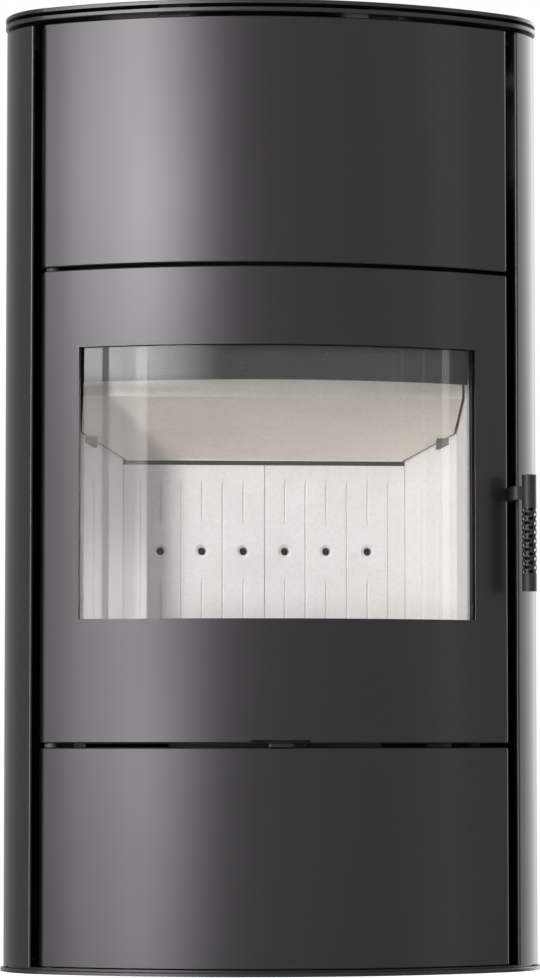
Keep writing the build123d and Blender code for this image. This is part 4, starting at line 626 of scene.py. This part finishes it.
def make_punched_tube_tree():
    """A round tube with staggered rows of punched holes: cells with a hole, half cells and plain ends.

    The sheet is laid out flat, the way round along X, and then rolled up.
    """
    tree, given, out = geometry_tree("punched_tube", {
        "Radius": 0.0073, "Holes Around": 5, "Rows": 15, "Row Pitch": 0.00444, "Hole Half Width": 0.0035,
        "Hole Half Height": 0.0017, "First Row": 0.0192, "Length": 0.1165, "Turn": 0.0,
        "Axis X": 0.0, "Axis Y": 0.0, "Bottom": 0.0,
    })
    girth = times(tree, given["Radius"], 2 * math.pi)
    pitch = divided(tree, girth, given["Holes Around"])
    half = times(tree, pitch, 0.5)

    def lattice(first, count):
        """Points on staggered rows, from one row on."""
        total = times(tree, given["Holes Around"], count)
        index = tree.nodes.new("GeometryNodeInputIndex").outputs[0]
        row = plus(tree, maths(tree, "FLOOR", divided(tree, index, given["Holes Around"])), first)
        column = maths(tree, "FLOORED_MODULO", index, given["Holes Around"])
        odd = maths(tree, "FLOORED_MODULO", row, 2.0)
        x = plus(tree, times(tree, column, pitch), times(tree, odd, half))
        z = plus(tree, times(tree, row, given["Row Pitch"]), given["First Row"])
        place = vector(tree, x, z, 0.0)
        return place_node(tree, "GeometryNodePoints", {"Count": total, "Position": place}).outputs[0]

    def grid(columns, rows):
        return place_node(tree, "GeometryNodeMeshGrid", {
            "Size X": 1.0, "Size Y": 1.0, "Vertices X": columns, "Vertices Y": rows,
        }).outputs[0]

    # The cell with its hole: X of the grid runs from the hole's edge to the cell's edge, Y runs round.
    flat = grid(4, 25)
    x, y, _ = split_place(tree)
    out_part = plus(tree, x, 0.5)
    round_part = times(tree, plus(tree, y, 0.5), 4.0)
    angle = times(tree, round_part, -math.pi / 2)
    ring_x = times(tree, maths(tree, "COSINE", angle), given["Hole Half Width"])
    ring_y = times(tree, maths(tree, "SINE", angle), given["Hole Half Height"])
    wave_x = minus(tree, maths(tree, "ABSOLUTE", minus(tree, round_part, 2.0)), 1.0)
    ahead = maths(tree, "FLOORED_MODULO", plus(tree, round_part, 1.0), 4.0)
    wave_y = minus(tree, maths(tree, "ABSOLUTE", minus(tree, ahead, 2.0)), 1.0)
    edge_x = times(tree, wave_x, half)
    edge_y = times(tree, wave_y, given["Row Pitch"])

    def between(start, end):
        return plus(tree, start, times(tree, minus(tree, end, start), out_part))

    cell = moved(tree, flat, vector(tree, between(ring_x, edge_x), between(ring_y, edge_y), 0.0))
    cell = place_node(tree, "GeometryNodeFlipFaces", {"Mesh": cell}).outputs[0]
    cells = place_node(
        tree, "GeometryNodeInstanceOnPoints", {"Points": lattice(0.0, given["Rows"]), "Instance": cell},
    ).outputs[0]

    # Half cells that close the zigzag under the first row and over the last.
    flat = grid(13, 3)
    x, y, _ = split_place(tree)
    side = times(tree, x, 2.0)
    peak = minus(tree, 1.0, maths(tree, "ABSOLUTE", side))
    rise = times(tree, times(tree, peak, plus(tree, y, 0.5)), given["Row Pitch"])
    half_cell = moved(tree, flat, vector(tree, times(tree, side, half), rise, 0.0))
    under = place_node(
        tree, "GeometryNodeInstanceOnPoints", {"Points": lattice(-1.0, 1.0), "Instance": half_cell},
    ).outputs[0]
    over = place_node(tree, "GeometryNodeInstanceOnPoints", {
        "Points": lattice(given["Rows"], 1.0), "Instance": half_cell, "Rotation": (0.0, 0.0, math.pi),
    }).outputs[0]

    # Plain bands at both ends.
    def band(low, high):
        columns = plus(tree, times(tree, given["Holes Around"], 12.0), 1.0)
        plain = grid(columns, 4)
        x, y, _ = split_place(tree)
        z = plus(tree, low, times(
            tree, plus(tree, y, 0.5), minus(tree, high, low),
        ))
        return moved(tree, plain, vector(tree, times(tree, x, girth), z, 0.0))

    low_end = minus(tree, given["First Row"], given["Row Pitch"])
    high_end = plus(tree, given["First Row"], times(tree, given["Rows"], given["Row Pitch"]))
    sheet = joined(tree, cells, under, over, band(0.0, low_end), band(high_end, given["Length"]))
    sheet = place_node(tree, "GeometryNodeRealizeInstances", {"Geometry": sheet}).outputs[0]
    x, y, _ = split_place(tree)
    angle = plus(tree, divided(tree, x, given["Radius"]), given["Turn"])
    tube = moved(tree, sheet, vector(
        tree,
        plus(tree, times(tree, maths(tree, "COSINE", angle), given["Radius"]), given["Axis X"]),
        plus(tree, times(tree, maths(tree, "SINE", angle), given["Radius"]), given["Axis Y"]),
        plus(tree, y, given["Bottom"]),
    ))
    closed = place_node(tree, "GeometryNodeMergeByDistance", {"Geometry": tube, "Distance": 0.00002})
    finish_tree(tree, out, closed.outputs[0], finishes["matt_steel"])
    return tree


def make_grip_core_tree():
    """The rod inside the punched sleeve, with a waist turned at each row of holes."""
    tree, given, out = geometry_tree("grip_core", {
        "Radius": 0.0053, "Waist": 0.0002, "Row Pitch": 0.00444, "Length": 0.1165,
        "Axis X": 0.0, "Axis Y": 0.0, "Bottom": 0.0,
    })
    rod = place_node(
        tree, "GeometryNodeMeshCylinder",
        {"Vertices": 36, "Side Segments": 156, "Radius": 1.0, "Depth": given["Length"]}, fill_type="NGON",
    ).outputs["Mesh"]
    x, y, z = split_place(tree)
    wave = maths(tree, "COSINE", divided(tree, times(tree, z, 2 * math.pi), given["Row Pitch"]))
    radius = minus(tree, given["Radius"], times(tree, plus(tree, wave, 1.0), given["Waist"]))
    turned = moved(tree, rod, vector(
        tree, plus(tree, times(tree, x, radius), given["Axis X"]),
        plus(tree, times(tree, y, radius), given["Axis Y"]),
        plus(tree, plus(tree, z, times(tree, given["Length"], 0.5)), given["Bottom"]),
    ))
    # Near-black steel: painted shade inside the punched holes of the sleeve.
    finish_tree(tree, out, turned, near_black_steel)
    return tree


SLEEVE_TURN = -8.14
SLEEVE_WALL = 0.0007
CORE_END_PLAY = 0.0005


def make_grip():
    """The punched sleeve and the rod inside it, on the axis of the plain grip."""
    low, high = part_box("handle_grip")
    length = high[2] - low[2]
    axis_x, axis_y = (low[0] + high[0]) / 2, (low[1] + high[1]) / 2
    skin = grown("grip_tube", make_punched_tube_tree(), {
        "Length": length, "Turn": math.radians(SLEEVE_TURN),
        "Axis X": axis_x, "Axis Y": axis_y, "Bottom": low[2],
    })
    wall = skin.modifiers.new("wall", "SOLIDIFY")
    wall.thickness = SLEEVE_WALL
    wall.offset = -1.0
    graph = bpy.context.evaluated_depsgraph_get()
    mesh = bpy.data.meshes.new_from_object(skin.evaluated_get(graph))
    bpy.data.objects.remove(skin)
    stands_for(dressed_piece("handle_grip_punched", mesh), "handle", "matt_steel", "handle_grip")
    core = grown("handle_grip_core", make_grip_core_tree(), {
        "Length": length - 2 * CORE_END_PLAY, "Axis X": axis_x, "Axis Y": axis_y,
        "Bottom": low[2] + CORE_END_PLAY,
    })
    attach(core, "handle")


make_grip()


# Screws and nuts

HEAD_RADIUS = 0.0042
HEAD_HALF_FLATS = 0.003637
HEAD_HEIGHT = 0.0022
SCREW_ROWS = 5


def capped_hexagon(tree, radius, height, low):
    """A hexagon head with a small chamfer on top, from a height on."""
    body = place_node(
        tree, "GeometryNodeMeshCone",
        {"Vertices": 6, "Radius Top": radius, "Radius Bottom": radius, "Depth": times(tree, height, 0.85)},
        fill_type="NONE",
    ).outputs["Mesh"]
    cap = place_node(
        tree, "GeometryNodeMeshCone",
        {"Vertices": 6, "Radius Top": times(tree, radius, 0.88), "Radius Bottom": radius,
         "Depth": times(tree, height, 0.15)},
    ).outputs["Mesh"]
    cap = place_node(tree, "GeometryNodeTransform", {
        "Geometry": cap, "Translation": vector(tree, 0.0, 0.0, times(tree, height, 0.85)),
    }).outputs[0]
    base = place_node(tree, "GeometryNodeMeshCircle", {"Vertices": 6, "Radius": radius}, fill_type="NGON")
    base = place_node(tree, "GeometryNodeFlipFaces", {"Mesh": base.outputs[0]}).outputs[0]
    whole = place_node(tree, "GeometryNodeMergeByDistance", {
        "Geometry": joined(tree, body, cap, base), "Distance": 0.00001,
    }).outputs[0]
    return place_node(tree, "GeometryNodeTransform", {
        "Geometry": whole, "Translation": vector(tree, 0.0, 0.0, low),
    }).outputs[0]


def round_step(tree, radius_low, radius_top, height, low):
    """A short round collar or stud end with straight or sloping sides."""
    step = place_node(tree, "GeometryNodeMeshCone", {
        "Vertices": 28, "Radius Top": radius_top, "Radius Bottom": radius_low, "Depth": height,
    }).outputs["Mesh"]
    return place_node(tree, "GeometryNodeTransform", {
        "Geometry": step, "Translation": vector(tree, 0.0, 0.0, low),
    }).outputs[0]


def make_back_screw_tree():
    """Flanged hexagon screws in two columns on the back."""
    tree, given, out = geometry_tree("back_screws", {
        "Half Spread": 0.194, "Lowest": 0.0228, "Row Pitch": 0.227, "Rows": SCREW_ROWS, "Face": 0.1925,
        "Head Radius": HEAD_RADIUS, "Head Height": HEAD_HEIGHT,
    })
    radius, height = given["Head Radius"], given["Head Height"]
    collar_height = times(tree, height, 0.3)
    collar = round_step(tree, radius, times(tree, radius, 0.9), collar_height, 0.0)
    head = capped_hexagon(
        tree, times(tree, radius, 0.8), times(tree, height, 0.7), collar_height,
    )
    index = tree.nodes.new("GeometryNodeInputIndex").outputs[0]
    side = minus(tree, times(tree, maths(tree, "FLOORED_MODULO", index, 2.0), 2.0), 1.0)
    row = maths(tree, "FLOOR", divided(tree, index, 2.0))
    place = vector(
        tree, times(tree, side, given["Half Spread"]), given["Face"],
        plus(tree, times(tree, row, given["Row Pitch"]), given["Lowest"]),
    )
    points = place_node(tree, "GeometryNodePoints", {
        "Count": times(tree, given["Rows"], 2.0), "Position": place,
    }).outputs[0]
    turn = place_node(
        tree, "FunctionNodeRandomValue", {"Min": 0.0, "Max": 60.0, "Seed": 3}, data_type="FLOAT",
    )
    spin = maths(tree, "RADIANS", [s for s in turn.outputs if s.enabled][0])
    screw = joined(tree, collar, head)
    heads = place_node(tree, "GeometryNodeInstanceOnPoints", {
        "Points": points, "Instance": screw, "Rotation": vector(tree, -math.pi / 2, spin, 0.0),
    }).outputs[0]
    finish_tree(tree, out, heads, finishes["zinc_steel"])
    return tree


def make_clip_nut_tree():
    """Studs with washer and nut that hold the glass clips, in two rows on the bowed door panel."""
    tree, given, out = geometry_tree("clip_nuts", {
        "Angle Step": 20.0, "Lower Row": 0.330, "Upper Row": 0.641,
        "Root Depth": 0.00305, "Tip Depth": 0.016, "Stud Radius": 0.003,
        "Nut Depth": 0.012, "Nut Radius": 0.0055,
    })
    reach = minus(tree, given["Tip Depth"], given["Root Depth"])
    shank_height = times(tree, reach, 0.94)
    shank = round_step(tree, given["Stud Radius"], given["Stud Radius"], shank_height, 0.0)
    tip = round_step(
        tree, given["Stud Radius"], times(tree, given["Stud Radius"], 0.75),
        times(tree, reach, 0.06), shank_height,
    )
    nut_low = minus(tree, given["Nut Depth"], given["Root Depth"])
    washer = round_step(
        tree, given["Nut Radius"], times(tree, given["Nut Radius"], 0.97), 0.0006, nut_low,
    )
    nut = capped_hexagon(
        tree, times(tree, given["Nut Radius"], 0.92),
        minus(tree, minus(tree, shank_height, nut_low), 0.0008),
        plus(tree, nut_low, 0.0006),
    )
    index = tree.nodes.new("GeometryNodeInputIndex").outputs[0]
    upper = maths(tree, "FLOOR", divided(tree, index, 3.0))
    step = minus(tree, maths(tree, "FLOORED_MODULO", index, 3.0), 1.0)
    angle = maths(tree, "RADIANS", times(tree, step, given["Angle Step"]))
    distance = minus(tree, FRONT_RADIUS, given["Root Depth"])
    place = vector(
        tree, times(tree, maths(tree, "SINE", angle), distance),
        minus(tree, ARC_Y, times(tree, maths(tree, "COSINE", angle), distance)),
        plus(tree, given["Lower Row"], times(
            tree, upper, minus(tree, given["Upper Row"], given["Lower Row"]),
        )),
    )
    points = place_node(tree, "GeometryNodePoints", {"Count": 6, "Position": place}).outputs[0]
    stud = joined(tree, shank, tip, washer, nut)
    studs = place_node(tree, "GeometryNodeInstanceOnPoints", {
        "Points": points, "Instance": stud, "Rotation": vector(tree, -math.pi / 2, 0.0, angle),
    }).outputs[0]
    finish_tree(tree, out, studs, finishes["zinc_steel"])
    return tree


def make_screws():
    """The screws of the back and the studs of the glass clips, at the places of the plain ones."""
    low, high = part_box("rear_screws")
    lowest, highest = low[2] + HEAD_HALF_FLATS, high[2] - HEAD_HALF_FLATS
    heads = grown("rear_screw_heads", make_back_screw_tree(), {
        "Half Spread": high[0] - HEAD_RADIUS, "Lowest": lowest,
        "Row Pitch": (highest - lowest) / (SCREW_ROWS - 1), "Face": high[1] - HEAD_HEIGHT,
    })
    stands_for(heads, "stove", "zinc_steel", "rear_screws")
    nuts = grown("clip_stud_nuts", make_clip_nut_tree(), {})
    stands_for(nuts, "fire_door", "zinc_steel", "clip_screws")


make_screws()


# Floor, light and backdrop

# Brightness of the empty room in reflections, and the place of the lights round the stove.
ROOM_LEVEL = 0.79
LIGHT_DISTANCE = 3.0
WALL_BOTTOM, WALL_TOP = -0.8, 2.6
LAMP_AZIMUTH = -32.0


def make_floor():
    """A floor as white as the room behind, which keeps the soft shadow of the stove."""
    mesh = bpy.data.meshes.new("floor")
    size = 30.0
    corners = [(-size, -size, 0), (size, -size, 0), (size, size, 0), (-size, size, 0)]
    mesh.from_pydata(corners, [], [(0, 1, 2, 3)])
    floor = bpy.data.objects.new("floor", mesh)
    bpy.context.scene.collection.objects.link(floor)
    material = bpy.data.materials.new("pale_floor")
    material.use_nodes = True
    tree = material.node_tree
    shader = tree.nodes["Principled BSDF"]
    shader.inputs["Base Color"].default_value = (0.92, 0.92, 0.92, 1.0)
    shader.inputs["Roughness"].default_value = 0.9
    shader.inputs["Emission Color"].default_value = (1.0, 1.0, 1.0, 1.0)
    path = tree.nodes.new("ShaderNodeLightPath")
    lift = times(tree, path.outputs["Is Camera Ray"], 0.8)
    tree.links.new(lift, shader.inputs["Emission Strength"])
    mesh.materials.append(material)
    floor.visible_glossy = False


def stepped(tree, value, stops, scale=1.0):
    """A value read off between stops, given as place: level."""
    ramp = tree.nodes.new("ShaderNodeValToRGB")
    ends = ramp.color_ramp.elements
    levels = [(place, (level / scale,) * 3 + (1.0,)) for place, level in stops]
    ends[0].position, ends[0].color = levels[0]
    ends[1].position, ends[1].color = levels[-1]
    for place, level in levels[1:-1]:
        ends.new(place).color = level
    tree.links.new(value, ramp.inputs["Fac"])
    return times(tree, ramp.outputs["Color"], scale)


def curved_sheet(name, first, last):
    """An upright sheet bent round the stove from one azimuth to another, with its UV from 0 to 1."""
    steps = 24
    points, faces = [], []
    for index in range(steps + 1):
        azimuth = math.radians(first + (last - first) * index / steps)
        for z in (WALL_BOTTOM, WALL_TOP):
            points.append((math.sin(azimuth) * LIGHT_DISTANCE, -math.cos(azimuth) * LIGHT_DISTANCE, z))
    for index in range(steps):
        faces.append((2 * index, 2 * index + 2, 2 * index + 3, 2 * index + 1))
    mesh = bpy.data.meshes.new(name)
    mesh.from_pydata(points, [], faces)
    across = mesh.uv_layers.new(name="across")
    for loop in mesh.loops:
        column, row = divmod(loop.vertex_index, 2)
        across.data[loop.index].uv = (column / steps, row)
    return mesh


def height_shape(tree, height, profile):
    """The brightness at a height, given as metres: level."""
    stops = [((z - WALL_BOTTOM) / (WALL_TOP - WALL_BOTTOM), level) for z, level in profile]
    return stepped(tree, height, stops, 2.4)


def make_curved_light(name, azimuths, bands, levels, profiles=None):
    """A soft upright wall of light bent round the stove. It shows only in reflections.

    The bands give the brightness at an azimuth, the levels that at the lower and upper edge. The
    profiles change it with the height: one before and one after an azimuth. Where the wall gives
    less than the empty room, it is as bright as the room.
    """
    first, last = azimuths
    mesh = curved_sheet(name, first, last)
    panel = bpy.data.objects.new(name, mesh)
    bpy.context.scene.collection.objects.link(panel)
    material = bpy.data.materials.new(name)
    material.use_nodes = True
    tree = material.node_tree
    tree.nodes.clear()
    out = tree.nodes.new("ShaderNodeOutputMaterial")
    emit = tree.nodes.new("ShaderNodeEmission")
    split = tree.nodes.new("ShaderNodeSeparateXYZ")
    tree.links.new(tree.nodes.new("ShaderNodeTexCoord").outputs["UV"], split.inputs["Vector"])
    side, height = split.outputs["X"], split.outputs["Y"]
    places = [((azimuth - first) / (last - first), level) for azimuth, level in bands]
    upward = remap(tree, height, 0.0, 1.0, *levels)
    strength = times(tree, stepped(tree, side, places, 1.1), upward)
    if profiles:
        border, before, after = profiles
        border = (border - first) / (last - first)
        shape_before = height_shape(tree, height, before)
        shape_after = height_shape(tree, height, after)
        beyond = remap(tree, side, border - 0.004, border + 0.004, 0.0, 1.0)
        change = times(tree, minus(tree, shape_after, shape_before), beyond)
        strength = times(tree, strength, plus(tree, change, shape_before))
    tree.links.new(maths(tree, "MAXIMUM", strength, ROOM_LEVEL), emit.inputs["Strength"])
    tree.links.new(emit.outputs["Emission"], out.inputs["Surface"])
    mesh.materials.append(material)
    panel.visible_camera = False
    panel.visible_diffuse = False
    panel.visible_shadow = False
    panel.visible_transmission = False


def make_soft_lamp(name, height, size, power):
    """A soft lamp that faces the window and isn't seen in the gloss."""
    data = bpy.data.lights.new(name, "AREA")
    data.shape = "RECTANGLE"
    data.size, data.size_y = size
    data.energy = power
    lamp = bpy.data.objects.new(name, data)
    turn = math.radians(LAMP_AZIMUTH)
    lamp.location = (math.sin(turn) * LIGHT_DISTANCE, -math.cos(turn) * LIGHT_DISTANCE, height)
    window_middle = Vector((0.0, 0.0, 0.48))
    aim = window_middle - lamp.location
    lamp.rotation_euler = aim.to_track_quat("-Z", "Y").to_euler()
    lamp.visible_glossy = False
    lamp.visible_transmission = False
    lamp.visible_camera = False
    bpy.context.scene.collection.objects.link(lamp)


# The wall on the left, as azimuth: level. Narrow dark and bright bands show as stripes in the glass.
LEFT_BANDS = [
    (-67.0, 0.0), (-53.0, 0.4), (-51.8, 0.75), (-45.8, 0.75), (-45.3, 0.15), (-43.8, 0.15),
    (-43.3, 0.8), (-39.8, 0.8), (-39.3, 0.6), (-38.6, 0.75), (-36.2, 0.8), (-35.6, 1.1),
    (-32.9, 1.1), (-32.5, 0.78), (-30.3, 0.72), (-26.9, 0.58), (-23.5, 0.45), (-20.1, 0.31),
    (-16.7, 0.18), (-13.3, 0.08), (-9.9, 0.03), (-6.5, 0.0),
]

# Its brightness over the height, as metres: level, on both sides of the border azimuth.
LEFT_BORDER = -32.7
OUTER_PROFILE = [
    (-0.8, 1.0), (0.1, 1.0), (0.3, 1.15), (0.5, 1.0), (0.6, 0.5), (0.68, 0.38), (0.835, 0.27),
    (0.842, 0.27), (0.85, 1.0), (0.94, 1.0), (0.96, 1.3), (1.25, 1.2), (1.4, 0.9), (1.7, 0.75),
    (2.0, 0.1), (2.6, 0.0),
]
INNER_PROFILE = [
    (-0.8, 1.0), (0.08, 1.0), (0.14, 1.9), (0.38, 1.9), (0.41, 0.06), (0.842, 0.06), (0.85, 1.0),
    (0.94, 1.0), (0.96, 2.1), (1.22, 2.0), (1.3, 0.85), (1.7, 0.7), (2.0, 0.1), (2.6, 0.0),
]

# Thin upright strips of light, as first azimuth, last azimuth, level.
STRIPS = [(35.2, 36.1, 0.3), (38.0, 38.9, 0.35), (44.4, 45.3, 0.4), (50.4, 52.4, 1.0)]
STRIP_EDGE = 0.2
STRIP_TAIL = [(52.8, 0.25), (55.2, 0.2), (56.0, 0.0)]

RIGHT_BANDS = [
    (86.0, 0.0), (88.0, 0.4), (95.0, 0.6), (101.0, 1.0), (107.0, 1.1), (140.0, 1.1), (155.0, 0.3),
]


def make_room():
    """A white room that is dimmer in reflections than to the eye, and dim on matt surfaces."""
    world = bpy.context.scene.world or bpy.data.worlds.new("studio")
    bpy.context.scene.world = world
    world.use_nodes = True
    tree = world.node_tree
    ground = tree.nodes["Background"]
    ground.inputs["Color"].default_value = (1.0, 1.0, 1.0, 1.0)
    path = tree.nodes.new("ShaderNodeLightPath")
    seen = maths(tree, "MAXIMUM", path.outputs["Is Camera Ray"], path.outputs["Is Transmission Ray"])
    mirrored = remap(tree, path.outputs["Is Glossy Ray"], 0.0, 1.0, 0.2, ROOM_LEVEL)
    tree.links.new(maths(tree, "MAXIMUM", seen, mirrored), ground.inputs["Strength"])


def make_lights():
    profiles = (LEFT_BORDER, OUTER_PROFILE, INNER_PROFILE)
    make_curved_light("left_light_wall", (-67.0, -6.5), LEFT_BANDS, (3.5, 32.0), profiles)
    strip_bands = [(33.0, 0.0), (35.0, 0.0)]
    for start, end, level in STRIPS:
        strip_bands += [(start - STRIP_EDGE, 0.0), (start, level), (end, level), (end + STRIP_EDGE, 0.0)]
    strip_bands = strip_bands[:-1] + STRIP_TAIL
    make_curved_light("narrow_light_strips", (33.0, 56.0), strip_bands, (2.5, 5.0))
    make_curved_light("right_light_wall", (86.0, 155.0), RIGHT_BANDS, (2.3, 4.4))
    make_soft_lamp("window_lamp_high", 1.25, (0.35, 0.9), 43.5)
    make_soft_lamp("window_lamp_low", 0.2, (0.35, 0.5), 33.0)


make_floor()
make_room()
make_lights()
bpy.context.scene.view_settings.view_transform = "Standard"
